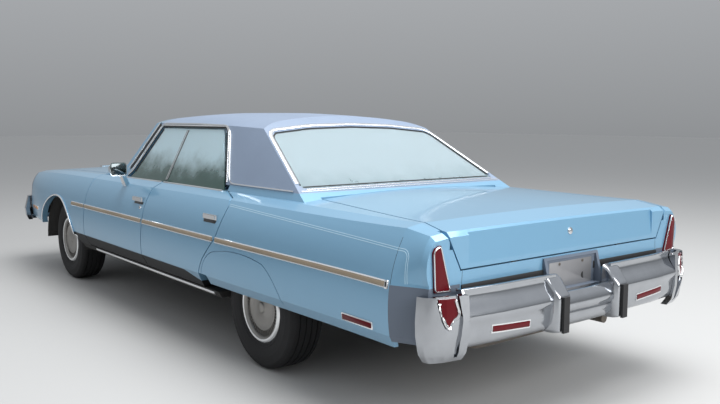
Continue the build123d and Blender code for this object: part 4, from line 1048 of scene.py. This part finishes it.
# The lid comes down on two rubber buffers on top of the tail panel; facing out through the lid gap, their
# black plates are painted shade in the gap
LID_REST_AT = (-2.790, 0.400, 0.7478)
for side_name, side in SIDES:
    x, y, z = LID_REST_AT
    rest_hit = (Vector((x, side * y, z)), Vector((-1, 0, 0)))
    # Black rubber buffer that is painted shade in the lid gap as well
    plate(f"lid_buffer_gap_shade_{side_name}", rest_hit, rounded_box(0.043, 0.0070, 0.001), 0.0015, black_rubber,
          "body", edge=0.0004)
print("marker lamps: 4, lid buffers: 2")

# %% [markdown]
# The tail lamps have bright bezels round the upper lens and a U-shaped chrome rim under the lower one,
# which sits in the hollow of the bumper's end cap.

# %% Tail lamp bezels
UPPER_LAMP = [(0.812, 0.667), (0.876, 0.866), (0.906, 0.856), (0.916, 0.840), (0.906, 0.672)]
LOWER_RIM = [
    (0.852, 0.648), (0.834, 0.588), (0.872, 0.556), (0.884, 0.530), (0.898, 0.545), (0.909, 0.570),
    (0.922, 0.640),
]
# How far the bezel lies inside the lamp's outline, as shares of its width and height
BEZEL_SHARES = (0.90, 0.965)
for side_name, side in SIDES:
    centre_y = sum(y for y, z in UPPER_LAMP) / len(UPPER_LAMP)
    centre_z = sum(z for y, z in UPPER_LAMP) / len(UPPER_LAMP)
    across, upward = BEZEL_SHARES
    inner = [
        (centre_y + (y - centre_y) * across, centre_z + (z - centre_z) * upward) for y, z in UPPER_LAMP
    ]
    line = rounded_line(inner + inner[:1], 0.02, 0.012)[:-1]
    hits = [from_behind(["tail_lamps"], side * y, z) for y, z in line]
    strip(f"upper_lamp_bezel_{side_name}", hits, half_round(0.006, 0.004), chrome_plate, "body",
          closed=True)
    line = rounded_line(LOWER_RIM, 0.012, 0.02)
    hits = [from_behind(["rear_bumper", "tail_lamps"], side * y, z) for y, z in line]
    strip(f"lower_lamp_rim_{side_name}", hits, half_round(0.014, 0.010), chrome_plate, "body")
print("tail lamp bezels: 2")

# %% [markdown]
# The wheel covers' fins and the tyres' shoulder blocks are the same small block, repeated round a ring.
# An array could turn copies about an empty, but a node tree has its count, radius and block size as
# named inputs, so one tree serves both. It ends in real geometry, since instances aren't exported.

# %% Rings of blocks
def add_node(tree, kind, **settings):
    node = tree.nodes.new(kind)
    for label, value in settings.items():
        setattr(node, label, value)
    return node


ring_tree = bpy.data.node_groups.new("ring_of_blocks", "GeometryNodeTree")
RING_INPUTS = (
    ("Geometry", "NodeSocketGeometry"), ("Count", "NodeSocketInt"), ("Radius", "NodeSocketFloat"),
    ("Block", "NodeSocketVector"), ("Skew", "NodeSocketFloat"), ("Tilt", "NodeSocketFloat"),
    ("Centre", "NodeSocketVector"), ("Finish", "NodeSocketMaterial"),
)
ring_sockets = {}
for label, kind in RING_INPUTS:
    ring_sockets[label] = ring_tree.interface.new_socket(label, in_out="INPUT", socket_type=kind).identifier
ring_tree.interface.new_socket("Geometry", in_out="OUTPUT", socket_type="NodeSocketGeometry")
ring_in = add_node(ring_tree, "NodeGroupInput")
ring_out = add_node(ring_tree, "NodeGroupOutput")
circle = add_node(ring_tree, "GeometryNodeMeshCircle")
block = add_node(ring_tree, "GeometryNodeMeshCube")
outward = add_node(ring_tree, "FunctionNodeAlignRotationToVector", axis="X")
position = add_node(ring_tree, "GeometryNodeInputPosition")
turned = add_node(ring_tree, "FunctionNodeRotateRotation", rotation_space="LOCAL")
lean = add_node(ring_tree, "ShaderNodeCombineXYZ")
as_rotation = add_node(ring_tree, "FunctionNodeEulerToRotation")
placed = add_node(ring_tree, "GeometryNodeInstanceOnPoints")
upright_ring = add_node(ring_tree, "GeometryNodeTransform")
upright_ring.inputs["Rotation"].default_value = (math.radians(90), 0, 0)
moved_ring = add_node(ring_tree, "GeometryNodeTransform")
real = add_node(ring_tree, "GeometryNodeRealizeInstances")
finished = add_node(ring_tree, "GeometryNodeSetMaterial")
for source, output, target, entry in (
    (ring_in, "Count", circle, "Vertices"),
    (ring_in, "Radius", circle, "Radius"),
    (ring_in, "Block", block, "Size"),
    (position, 0, outward, "Vector"),
    (ring_in, "Skew", lean, "X"),
    (ring_in, "Tilt", lean, "Y"),
    (lean, 0, as_rotation, 0),
    (outward, 0, turned, "Rotation"),
    (as_rotation, 0, turned, "Rotate By"),
    (circle, "Mesh", placed, "Points"),
    (block, "Mesh", placed, "Instance"),
    (turned, 0, placed, "Rotation"),
    (placed, 0, upright_ring, "Geometry"),
    (upright_ring, 0, moved_ring, "Geometry"),
    (ring_in, "Centre", moved_ring, "Translation"),
    (moved_ring, 0, real, "Geometry"),
    (real, 0, finished, "Geometry"),
    (ring_in, "Finish", finished, "Material"),
    (finished, 0, ring_out, "Geometry"),
):
    wire(ring_tree, source.outputs[output], target.inputs[entry])
print("links in the ring tree:", len(ring_tree.links))

# %% [markdown]
# The tree is set up for each ring, its mesh is taken as a plain piece, and the object that carried the
# tree is thrown away. Left as modifiers, the rings would do for a picture but not for an export.

# %% Fins and shoulder blocks
def baked(name, tree, values, body):
    """The mesh that a node tree makes from its inputs, as a plain piece that rides on a body."""
    seed = add_object(f"{name}_seed", bpy.data.meshes.new(f"{name}_seed"))
    modifier = seed.modifiers.new("nodes", "NODES")
    modifier.node_group = tree
    for identifier, value in values.items():
        modifier[identifier] = value
    graph = bpy.context.evaluated_depsgraph_get()
    mesh = bpy.data.meshes.new_from_object(seed.evaluated_get(graph))
    seed.modifiers.remove(modifier)
    bpy.data.objects.remove(seed)
    piece = add_object(name, mesh)
    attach(piece, body)
    return piece


def block_ring(name, count, radius, block_size, skew, tilt, centre, finish, body):
    values = {"Count": count, "Radius": radius, "Block": block_size, "Skew": skew, "Tilt": tilt,
              "Centre": tuple(centre), "Finish": finish}
    by_socket = {ring_sockets[label]: value for label, value in values.items()}
    return baked(name, ring_tree, by_socket, body)


FIN_COUNT = 48
FIN_RING_R = 0.143
FIN_SIZE = (0.028, 0.0030, 0.012)
FIN_OUT = 0.0765
SHOULDER_COUNT = 72
SHOULDER_R = 0.3262
SHOULDER_SIZE = (0.004, 0.016, 0.020)
SHOULDER_OUT = 0.0885
SHOULDER_LEAN = math.radians(38)
for end, side_name, side, centre in WHEELS:
    body = BODY_OF[f"{end}_wheel_{side_name}"]
    at = centre + Vector((0, side * FIN_OUT, 0))
    block_ring(f"cover_fins_{end}_{side_name}", FIN_COUNT, FIN_RING_R, FIN_SIZE, 0.0, 0.0, at,
               cover_silver, body)
    for row, offset in (("outer", SHOULDER_OUT), ("inner", -SHOULDER_OUT)):
        at = centre + Vector((0, side * offset, 0))
        lean_out = side * math.copysign(SHOULDER_LEAN, offset)
        block_ring(f"tyre_blocks_{row}_{end}_{side_name}", SHOULDER_COUNT, SHOULDER_R, SHOULDER_SIZE, 0.0,
                   lean_out, at, tyre_rubber, body)
print("fins on each cover:", FIN_COUNT, "blocks on each shoulder:", SHOULDER_COUNT)

# %% [markdown]
# The seats are cloth over foam. Each cushion or back starts as a plain block with the right side view
# and rounded edges. It could be left so, but foam swells between its seams, so the block is remeshed
# into even faces that cloth can stretch.

# %% Seat shells
VOXEL = 0.015
EDGE_ROUND = 0.022


def apply_modifiers(piece):
    graph = bpy.context.evaluated_depsgraph_get()
    piece.data = bpy.data.meshes.new_from_object(piece.evaluated_get(graph))
    piece.modifiers.clear()


def shell(name, profile, low_y, high_y):
    """A closed block from a side profile of x and z, between two distances from the middle."""
    bm = bmesh.new()
    join_rings(bm, [[bm.verts.new((x, y, z)) for x, z in profile] for y in (low_y, high_y)])
    bmesh.ops.recalc_face_normals(bm, faces=bm.faces)
    bmesh.ops.bevel(bm, geom=list(bm.edges), offset=EDGE_ROUND, segments=2, affect="EDGES", profile=0.6)
    piece = object_from(name, bm)
    remesh = piece.modifiers.new("remesh", "REMESH")
    remesh.mode = "VOXEL"
    remesh.voxel_size = VOXEL
    apply_modifiers(piece)
    return piece


CUSHION = [(0.036, 0.460), (0.036, 0.575), (0.200, 0.560), (0.470, 0.582), (0.522, 0.560), (0.522, 0.470)]
BACK = [(-0.046, 0.468), (0.006, 0.468), (0.016, 0.590), (-0.100, 0.935), (-0.176, 0.930)]
REAR_CUSHION = [
    (-0.985, 0.462), (-0.985, 0.560), (-0.800, 0.552), (-0.590, 0.576), (-0.538, 0.556), (-0.538, 0.466),
]
REAR_BACK = [(-1.070, 0.466), (-1.006, 0.466), (-1.004, 0.580), (-1.142, 0.902), (-1.236, 0.898)]
# Name, profile, both ends, the CAD node, and which way its sewn face looks in x and z
PADS = (
    ("front_cushion_left", CUSHION, 0.018, 0.672, "front_seat", (0.0, 1.0)),
    ("front_cushion_right", CUSHION, -0.672, -0.018, "front_seat", (0.0, 1.0)),
    ("front_back_left", BACK, 0.018, 0.672, "front_seat", (0.95, 0.3)),
    ("front_back_right", BACK, -0.672, -0.018, "front_seat", (0.95, 0.3)),
    ("rear_cushion", REAR_CUSHION, -0.672, 0.672, "rear_seat", (0.0, 1.0)),
    ("rear_back", REAR_BACK, -0.618, 0.618, "rear_seat", (0.93, 0.36)),
)
pads = []
for name, profile, low, high, node, (ahead, upward) in PADS:
    pads.append((shell(name, profile, low, high), low, high, node, Vector((ahead, 0, upward))))
print("pads:", len(pads))

# %% [markdown]
# Each shell is inflated like a cushion by Blender's cloth and then frozen. A smooth modifier would round
# it too, but pressure crowns the middle and leaves the seams low, as on a real seat. No point may move
# further than a set distance, so that a pad never grows through its neighbour.

# %% Swelling the pads
MOST_SWELL = 0.026
PRESSURE = 4.0
CLOTH_MASS = 0.4
CLOTH_STIFFNESS = 25
CLOTH_QUALITY = 4
CLOTH_FRAMES = 20
before = {}
for pad, *_ in pads:
    before[pad.name] = [vertex.co.copy() for vertex in pad.data.vertices]
    cloth = pad.modifiers.new("cloth", "CLOTH")
    cloth.settings.quality = CLOTH_QUALITY
    cloth.settings.mass = CLOTH_MASS
    cloth.settings.tension_stiffness = CLOTH_STIFFNESS
    cloth.settings.compression_stiffness = CLOTH_STIFFNESS
    cloth.settings.use_pressure = True
    cloth.settings.uniform_pressure_force = PRESSURE
    cloth.settings.effector_weights.gravity = 0
    cloth.collision_settings.use_collision = False
for number in range(1, CLOTH_FRAMES + 1):
    bpy.context.scene.frame_set(number)
graph = bpy.context.evaluated_depsgraph_get()
for pad, *_ in pads:
    swollen = [vertex.co.copy() for vertex in pad.evaluated_get(graph).data.vertices]
    pad.modifiers.clear()
    for vertex, start, end in zip(pad.data.vertices, before[pad.name], swollen):
        push = end - start
        if push.length > MOST_SWELL:
            push *= MOST_SWELL / push.length
        vertex.co = start + push
bpy.context.scene.frame_set(1)
print("most swell, mm:", 1000 * MOST_SWELL)

# %% [markdown]
# The sewn face has rows of channels and a seam along its border. They are pressed in last, because
# remeshing would wipe out anything so narrow, and bump would not show at the edge of the pad.

# %% Sewn channels
CHANNEL_PITCH = 0.085
CHANNEL_WIDTH = 0.016
CHANNEL_DEPTH = 0.007
CHANNEL_CURVE = 1.5
CHANNEL_RUN_OUT = 0.02
BORDER = 0.075
# Only vertices that look this much the sewn way are pressed in
SEWN_SHARE = 0.55


def press_channels(pad, low, high, facing):
    """Presses rows of channels and a border seam into one face of a pad."""
    facing = facing.normalized()
    lies_flat = facing.z > 0.9
    rows = max(1, round((high - low - 2 * BORDER) / CHANNEL_PITCH))
    pitch = (high - low - 2 * BORDER) / rows
    reach = [vertex.co.x if lies_flat else vertex.co.z for vertex in pad.data.vertices]
    long_low, long_high = min(reach), max(reach)
    normals = [vertex.normal.copy() for vertex in pad.data.vertices]
    for vertex, normal, along in zip(pad.data.vertices, normals, reach):
        if normal.dot(facing) < SEWN_SHARE:
            continue
        inside = min(along - long_low, long_high - along) - BORDER
        across = (vertex.co.y - low - BORDER) / pitch
        nearest = abs(across - round(across)) * pitch
        press = 0.0
        if inside > 0 and -0.1 < across < rows + 0.1:
            press = max(0.0, 1 - nearest / CHANNEL_WIDTH) ** CHANNEL_CURVE
            press *= min(1.0, inside / CHANNEL_RUN_OUT)
        if abs(vertex.co.y - (low + high) / 2) < (high - low) / 2 - BORDER + 0.005:
            press = max(press, max(0.0, 1 - abs(inside) / CHANNEL_WIDTH) ** CHANNEL_CURVE)
        vertex.co -= facing * CHANNEL_DEPTH * press


for pad, low, high, node, facing in pads:
    subdivide = pad.modifiers.new("subdivision", "SUBSURF")
    subdivide.levels = 1
    subdivide.render_levels = 1
    apply_modifiers(pad)
    press_channels(pad, low, high, facing)
    for face in pad.data.polygons:
        face.use_smooth = True
    pad.data.materials.clear()
    pad.data.materials.append(blue_velour)
    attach(pad, "body")
    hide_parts(node)
print("pad vertices:", {pad.name: len(pad.data.vertices) for pad, *_ in pads})

# %% [markdown]
# Under each cushion stands a carpeted plinth. It stays square, since it is a box of pressed steel, but
# its edges are folded, so every edge gets a small round.

# %% Seat plinths
def folded_box(name, low, high, radius, finish, body, segments=2):
    """A box between two corners, with all its edges rounded."""
    bm = bmesh.new()
    bmesh.ops.create_cube(bm, size=1.0)
    for vertex in bm.verts:
        vertex.co = Vector([a + (b - a) * (c + 0.5) for a, b, c in zip(low, high, vertex.co)])
    bmesh.ops.bevel(bm, geom=list(bm.edges), offset=radius, segments=segments, affect="EDGES", profile=0.7)
    return new_piece(name, bm, finish, body, sharp=FOLD_SHARP)


FOLD_R = 0.008
FOLD_SHARP = 50.0
# Name, rear and front end, inner and outer side, bottom and top
PLINTHS = (
    ("front_plinth", (0.064, 0.496), (0.205, 0.675), (0.323, 0.458)),
    ("rear_plinth", (-0.976, -0.564), (0.205, 0.625), (0.323, 0.462)),
)
for side_name, side in SIDES:
    for name, (rear_x, front_x), sides, (low_z, high_z) in PLINTHS:
        low_y, high_y = sorted(side * y for y in sides)
        folded_box(f"{name}_{side_name}", (rear_x, low_y, low_z), (front_x, high_y, high_z), FOLD_R,
                   cabin_carpet, "body")
print("plinths: 4")

# %% [markdown]
# Inside, each door has a carpeted kick strip, two bands of grained trim with a bright line between
# them, and an armrest with a pull handle. The bands are narrow, so they follow the curved inner skin.

# %% Door trim and armrests
# Door, and the front and rear end of its trim
DOOR_TRIM_RUNS = (("front_door", 0.800, 0.080), ("rear_door", -0.300, -0.850))
# Part, height, width and thickness of each band, its finish and slot
DOOR_BANDS = (
    ("kick_carpet", 0.462, 0.084, 0.006, cabin_carpet, "upholstery"),
    ("low_band", 0.556, 0.098, 0.008, blue_velour, "upholstery"),
    ("trim_line", 0.611, 0.007, 0.010, bright_steel, "chrome"),
    ("high_band", 0.668, 0.100, 0.008, blue_plastic, "cabin_plastic"),
)
for side_name, side in SIDES:
    for door, front_x, rear_x in DOOR_TRIM_RUNS:
        node = f"{door}_{side_name}"
        body = BODY_OF[node]
        for part, z, width, thickness, finish, slot in DOOR_BANDS:
            stops = rounded_line([(front_x, z), (rear_x, z)], 0.06)
            hits = [cast([node], (x, 0, at_z), (0, side, 0)) for x, at_z in stops]
            strip(f"{part}_{node}", hits, flat_bar(width, thickness), finish, body)
        # Name, rear and front end, inner and outer side, bottom and top, edge radius, steps and finish
        for name, low_x, high_x, sides, (low_z, high_z), radius, steps, finish, slot in (
            ("armrest", rear_x + 0.100, front_x - 0.120, (0.806, 0.868), (0.618, 0.664), 0.012, 3,
             blue_plastic, "cabin_plastic"),
            ("pull_handle", front_x - 0.115, front_x - 0.025, (0.822, 0.850), (0.690, 0.708), 0.005, 2,
             bright_steel, "chrome"),
        ):
            low_y, high_y = sorted(side * y for y in sides)
            folded_box(f"{name}_{node}", (low_x, low_y, low_z), (high_x, high_y, high_z), radius, finish,
                       body, segments=steps)
print("door trim bands:", 4 * len(DOOR_BANDS))

# %% [markdown]
# The rear bumper is one pressed bar on each side and a lower one in the middle. Its face is a rolled
# curve, which a coarse solid can't show. So each bar is drawn here as one section, carried along the
# bumper's plan.

# %% Bumper bars
# Distance from the middle and place of the bumper's face, and how far its plan has turned there
BUMPER_PLAN = ((0.0, -2.9225, 0.0), (0.300, -2.9190, 1.5), (0.600, -2.9125, 3.0), (0.790, -2.8935, 10.0))
BAR_SECTION = [
    (-0.080, 0.676), (-0.058, 0.681), (-0.046, 0.681), (-0.042, 0.677), (-0.043, 0.668), (-0.046, 0.660),
    (-0.042, 0.640), (-0.034, 0.624), (-0.022, 0.608), (-0.009, 0.591), (-0.002, 0.577), (0.000, 0.566),
    (-0.002, 0.555), (-0.008, 0.542), (-0.015, 0.522), (-0.018, 0.505), (-0.019, 0.486), (-0.023, 0.462),
    (-0.031, 0.443), (-0.042, 0.432), (-0.056, 0.428), (-0.080, 0.432),
]
MIDDLE_SECTION = [
    (-0.080, 0.590), (-0.052, 0.594), (-0.036, 0.591), (-0.018, 0.578), (-0.006, 0.560), (0.000, 0.538),
    (-0.001, 0.522), (-0.009, 0.508), (-0.013, 0.502), (-0.010, 0.494), (-0.012, 0.470), (-0.020, 0.448),
    (-0.034, 0.432), (-0.052, 0.425), (-0.080, 0.429),
]


def face_at(y):
    """Where the bumper's face stands at a distance from the middle, and its turn there."""
    reach = abs(y)
    for (y0, x0, turn0), (y1, x1, turn1) in zip(BUMPER_PLAN, BUMPER_PLAN[1:]):
        if reach <= y1:
            break
    share = (reach - y0) / (y1 - y0)
    turn = math.radians(turn0 + share * (turn1 - turn0))
    return x0 + share * (x1 - x0), turn if y >= 0 else -turn


def bar(bm, section, stops):
    rings = []
    for y in stops:
        x, turn = face_at(y)
        c, s = math.cos(turn), math.sin(turn)
        rings.append([bm.verts.new((x - c * depth, y + s * depth, z)) for depth, z in section])
    join_rings(bm, rings)


def even_stops(start, end, count):
    return [start + (end - start) * k / count for k in range(count + 1)]


# Where the side bars begin and end, how far the middle bar reaches, and what counts as a sharp edge
BAR_FROM_Y, BAR_TO_Y = 0.215, 0.790
MIDDLE_TO_Y = 0.225
ROLLED_SHARP = 50.0
bm = bmesh.new()
for _, side in SIDES:
    bar(bm, BAR_SECTION, even_stops(side * BAR_FROM_Y, side * BAR_TO_Y, 12))
bumper_bars = new_piece("rear_bumper_bars", bm, shaded_bumper_chrome, "body", sharp=ROLLED_SHARP)
bm = bmesh.new()
bar(bm, MIDDLE_SECTION, even_stops(-MIDDLE_TO_Y, MIDDLE_TO_Y, 8))
new_piece("rear_bumper_middle", bm, shaded_bumper_chrome, "body", sharp=ROLLED_SHARP)
print("points in a bar's section:", len(BAR_SECTION))

# %% [markdown]
# Two upright guards cover the joints between the bars, and the bars' ends turn into deep end caps. The
# guards are stacks of rounded boxes. The caps keep their CAD shape: a merged copy is cut where the bars
# begin, since drawing them again would only repeat it.

# %% Guards and end caps
CAR_END_X = -2.9555
GUARD_Y = 0.229
# Distance in from the car's end, low and high edge, and half width of each of the guard's sections
GUARD_SECTIONS = (
    (0.0130, 0.436, 0.588, 0.036), (0.0150, 0.430, 0.594, 0.040), (0.0200, 0.426, 0.600, 0.0435),
    (0.0450, 0.420, 0.628, 0.048), (0.0750, 0.418, 0.664, 0.052), (0.1000, 0.420, 0.676, 0.054),
)
for side_name, side in SIDES:
    bm = bmesh.new()
    rings = []
    for depth, low_z, high_z, half in GUARD_SECTIONS:
        outline = rounded_box(2 * half, high_z - low_z, 0.016)
        x, y, z = CAR_END_X + depth, side * GUARD_Y, (low_z + high_z) / 2
        rings.append([bm.verts.new((x, y + a, z + u)) for a, u in outline])
    join_rings(bm, rings)
    new_piece(f"bumper_guard_{side_name}", bm, shaded_bumper_chrome, "body", sharp=ROLLED_SHARP)

CAP_FROM_Y = 0.789
for side_name, side in SIDES:
    bm = bmesh.new()
    bm.from_mesh(nodes["rear_bumper"].data)
    bmesh.ops.remove_doubles(bm, verts=bm.verts, dist=2 * MERGE_WITHIN)
    cut = bmesh.ops.bisect_plane(
        bm, geom=list(bm.verts) + list(bm.edges) + list(bm.faces), plane_co=(0, side * CAP_FROM_Y, 0),
        plane_no=(0, -side, 0), clear_outer=True,
    )
    rim = [part for part in cut["geom_cut"] if isinstance(part, bmesh.types.BMEdge)]
    bmesh.ops.holes_fill(bm, edges=rim)
    new_piece(f"bumper_cap_{side_name}", bm, shaded_bumper_chrome, "body")
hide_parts("rear_bumper")
surfaces["rear_bumper_bars"] = tree_of(bumper_bars.data)
print("bumper pieces: 6")

# %% [markdown]
# A long red reflector in a bright frame lies on the lower face of each bar. Flat boxes would stand off
# the rolled face at their ends, so both are strips on rays.

# %% Reflectors
REFLECTOR = ((0.648, 0.500), (0.420, 0.488))
REFLECTOR_H = 0.026
for side_name, side in SIDES:
    for name, finish, slot, grow, height in (
        ("reflector_frame", bright_steel, "chrome", 0.006, 0.0025),
        ("reflector", red_lens, "red_lens", 0.0, 0.005),
    ):
        (y0, z0), (y1, z1) = REFLECTOR
        line = rounded_line([(y0 + grow, z0), (y1 - grow, z1)], 0.03)
        hits = [from_behind(["rear_bumper_bars"], side * y, z) for y, z in line]
        strip(f"{name}_{side_name}", hits, flat_bar(REFLECTOR_H + 2 * grow, height), finish, "body")
print("reflectors: 2")

# %% [markdown]
# Round the front wheels the real car has pressed liners, sprayed black, which hide the engine bay. An
# arch swept over the wheel and one flat wall inside it are enough, kept clear of the steered tyre.

# %% Front wheel liners
LINER_CENTRE = (1.757, 0.290)
LINER_R = 0.478
LINER_ROWS = (0.500, 0.640, 0.780, 0.935)
LINER_SHEET = 0.003
LINER_FROM, LINER_TO = 2, 178
LINER_STEPS = 24
for side_name, side in SIDES:
    bm = bmesh.new()
    arch = []
    for k in range(LINER_STEPS + 1):
        angle = math.radians(LINER_FROM + (LINER_TO - LINER_FROM) * k / LINER_STEPS)
        x = LINER_CENTRE[0] + LINER_R * math.cos(angle)
        z = LINER_CENTRE[1] + LINER_R * math.sin(angle)
        arch.append([bm.verts.new((x, side * y, z)) for y in LINER_ROWS])
    for low, high in zip(arch, arch[1:]):
        for k in range(len(LINER_ROWS) - 1):
            bm.faces.new((low[k], low[k + 1], high[k + 1], high[k]))
    bm.faces.new([row[0] for row in arch])
    bmesh.ops.recalc_face_normals(bm, faces=bm.faces)
    liner = new_piece(f"wheel_liner_{side_name}", bm, underseal, "body")
    thick = liner.modifiers.new("sheet", "SOLIDIFY")
    thick.thickness = LINER_SHEET
    thick.offset = 0.0
print("liners: 2")

# %% [markdown]
# A bright lip is rolled round each front wheel arch. The door handles are chrome flaps over a hollow in
# shade, so a thin black plate under each one is painted shadow.

# %% Arch lips and painted shadows under the handles
ARCH_CENTRE = (1.770, 0.215)
ARCH_R = 0.503
LIP_R = ARCH_R + 0.007
LIP_FROM, LIP_TO = 29, 156
LIP_STEPS = 40
# Door, and the place of the painted shadow under its handle
HANDLE_SHADOWS = (("front_door", 0.058, 0.812), ("rear_door", -0.994, 0.795))
for side_name, side in SIDES:
    node = f"front_fender_{side_name}"
    line = []
    for k in range(LIP_STEPS + 1):
        angle = math.radians(LIP_FROM + (LIP_TO - LIP_FROM) * k / LIP_STEPS)
        line.append((ARCH_CENTRE[0] + LIP_R * math.cos(angle), ARCH_CENTRE[1] + LIP_R * math.sin(angle)))
    hits = [from_side([node], side, x, z) for x, z in line]
    strip(f"arch_lip_{side_name}", hits, half_round(0.013, 0.005), bright_steel, "body")
    for door, x, z in HANDLE_SHADOWS:
        node = f"{door}_{side_name}"
        hit = from_side([node], side, x, z)
        # A thin black plate: painted shadow in the hollow under the handle
        plate(f"handle_shadow_{node}", hit, rounded_box(0.150, 0.036, 0.012), 0.0012, lamp_black,
              BODY_OF[node], edge=0.0005)
print("arch lips: 2")

# %% [markdown]
# The plate housing holds a bare back plate of dull metal with two screws and two half-moon hollows; black
# half-moon plates are painted shade in the hollows. Real screws have a slot, so each is a low disc with a
# dark bar across it, painted shade in the slot.

# %% Plate housing
PLATE_FACE_X = -2.799
PLATE_SCREWS = (-0.089, 0.089)


def on_housing(y, z):
    """A place on the housing's flat back, and its direction out."""
    return Vector((PLATE_FACE_X, y, z)), Vector((-1, 0, 0))


plate("plate_back", on_housing(0, 0.650), rounded_box(0.330, 0.124, 0.008), 0.0015, dull_plate, "body",
      sunk=0.001)
MOON_R = 0.017
moon_angles = [math.radians(angle) for angle in range(100, 281, 12)]
moon = [(MOON_R * math.cos(angle), MOON_R * math.sin(angle)) for angle in moon_angles]
for number, y in enumerate(PLATE_SCREWS):
    screw_hit = on_housing(y, 0.700)
    plate(f"plate_screw_{number}", screw_hit, disc(0.007, 24), 0.0045, dull_steel, "body")
    # Painted shade in the screw's slot
    plate(f"plate_slot_shade_{number}", screw_hit, rounded_box(0.010, 0.0014, 0.0006), 0.0048, lamp_black,
          "body")
    # Painted shade in a half-moon hollow
    plate(f"plate_moon_shade_{number}", on_housing(1.1 * y, 0.628), moon, 0.0020, lamp_black, "body",
          edge=0.0004)
print("plate screws:", len(PLATE_SCREWS))

# %% [markdown]
# Two wipers park along the foot of the windscreen. Each is a pivot cap, a flat arm and a blade of
# rubber in a steel bow, and all follow the glass, so they are strips on rays like the trim.

# %% Wipers
# Pivot, where the arm meets the blade, and the blade's ends, as distances from the middle and heights
WIPERS = (
    ("left", (0.500, 1.000), (0.180, 1.052), (0.380, 1.040), (-0.010, 1.062)),
    ("right", (-0.110, 1.000), (-0.420, 1.050), (-0.230, 1.056), (-0.600, 1.030)),
)
for name, pivot, joint, blade_start, blade_end in WIPERS:
    screen = ["windscreen", "windscreen_frame"]
    pivot_hit = from_ahead(screen, *pivot)
    plate(f"wiper_pivot_{name}", pivot_hit, disc(0.013, 24), 0.012, lamp_black, "body")
    for part, start, end, width, low, high, finish, slot in (
        ("arm", pivot, joint, 0.010, 0.009, 0.013, bright_steel, "chrome"),
        ("bow", blade_start, blade_end, 0.007, 0.006, 0.010, bright_steel, "chrome"),
        ("rubber", blade_start, blade_end, 0.004, -0.001, 0.006, black_rubber, "black_rubber"),
    ):
        hits = [from_ahead(screen, y, z) for y, z in rounded_line([start, end], 0.03)]
        half = width / 2
        section = [(half, low), (half, high), (-half, high), (-half, low)]
        strip(f"wiper_{part}_{name}", hits, section, finish, "body")
print("wipers:", len(WIPERS))

# %% [markdown]
# The dashboard has a row of square instruments round the column, a strip of wood-grain along it, a
# chrome line under that and three knobs. The steering wheel's hub gets a pad with a bright plate.

# %% Dashboard and steering wheel
def on_dash(y, z):
    """A place on the dashboard's face, met by a ray from above the front seat."""
    return cast(["dashboard"], (0.3, y, z), (1, 0, 0))


DASH_STRIP_ENDS = [(0.120, 0), (-0.660, 0)]
for name, z, height, finish, slot in (
    ("dash_wood", 0.838, 0.052, dash_wood, "cabin_plastic"),
    ("dash_line", 0.806, 0.006, bright_steel, "chrome"),
):
    hits = [on_dash(y, z) for y, _ in rounded_line(DASH_STRIP_ENDS, 0.08)]
    strip(name, hits, flat_bar(height, 0.003), finish, "body")
GAUGE_Z = 0.856
KNOB_Z = 0.735
for number, y in enumerate((0.260, 0.340, 0.420, 0.500)):
    hit = on_dash(y, GAUGE_Z)
    plate(f"gauge_bezel_{number}", hit, rounded_box(0.070, 0.058, 0.010), 0.004, bright_steel, "body")
    plate(f"gauge_face_{number}", hit, rounded_box(0.060, 0.048, 0.008), 0.0045, lamp_black, "body")
    needle = (hit[0] + Vector((0, 0, -0.006)), hit[1])
    plate(f"gauge_needle_{number}", needle, rounded_box(0.0022, 0.030, 0.001), 0.0052, amber_lens, "body",
          edge=0.0004)
for number, y in enumerate((0.060, 0.000, -0.060)):
    hit = on_dash(y, KNOB_Z)
    plate(f"dash_knob_{number}", hit, disc(0.013, 24), 0.016, bright_steel, "body", edge=0.003)
COLUMN_TILT = math.radians(25)
HUB_AT = Vector((0.600, 0.380, 0.850))
HUB_FACE = 0.014
hub_out = Vector((-math.cos(COLUMN_TILT), 0, math.sin(COLUMN_TILT)))
hub_hit = (HUB_AT + hub_out * HUB_FACE, hub_out)
plate("horn_pad", hub_hit, rounded_box(0.150, 0.086, 0.020), 0.020, blue_plastic, "steering_wheel",
      edge=0.008)
plate("horn_ring", hub_hit, rounded_box(0.118, 0.056, 0.014), 0.0215, bright_steel, "steering_wheel",
      edge=0.002)
print("gauges: 4")

# %% [markdown]
# The headlamps hide behind ribbed covers. A bright half-round frame runs round the edge of each cover,
# and it is one closed strip, so its corners need no mitres.

# %% Headlamp cover frames
COVER_LINE = [(0.296, 0.661), (0.296, 0.794), (0.784, 0.794), (0.784, 0.661), (0.296, 0.661)]
for side_name, side in SIDES:
    line = rounded_line([(side * y, z) for y, z in COVER_LINE], 0.05, 0.008)[:-1]
    hits = [from_ahead(["grille"], y, z) for y, z in line]
    strip(f"lamp_cover_frame_{side_name}", hits, half_round(0.008, 0.004), bright_steel, "body",
          closed=True)
print("lamp cover frames: 2")

# %% [markdown]
# Last, the plain Standard view shows the colours as they are set, with no film look laid over them.

# %% Closing step
bpy.context.scene.view_settings.view_transform = "Standard"
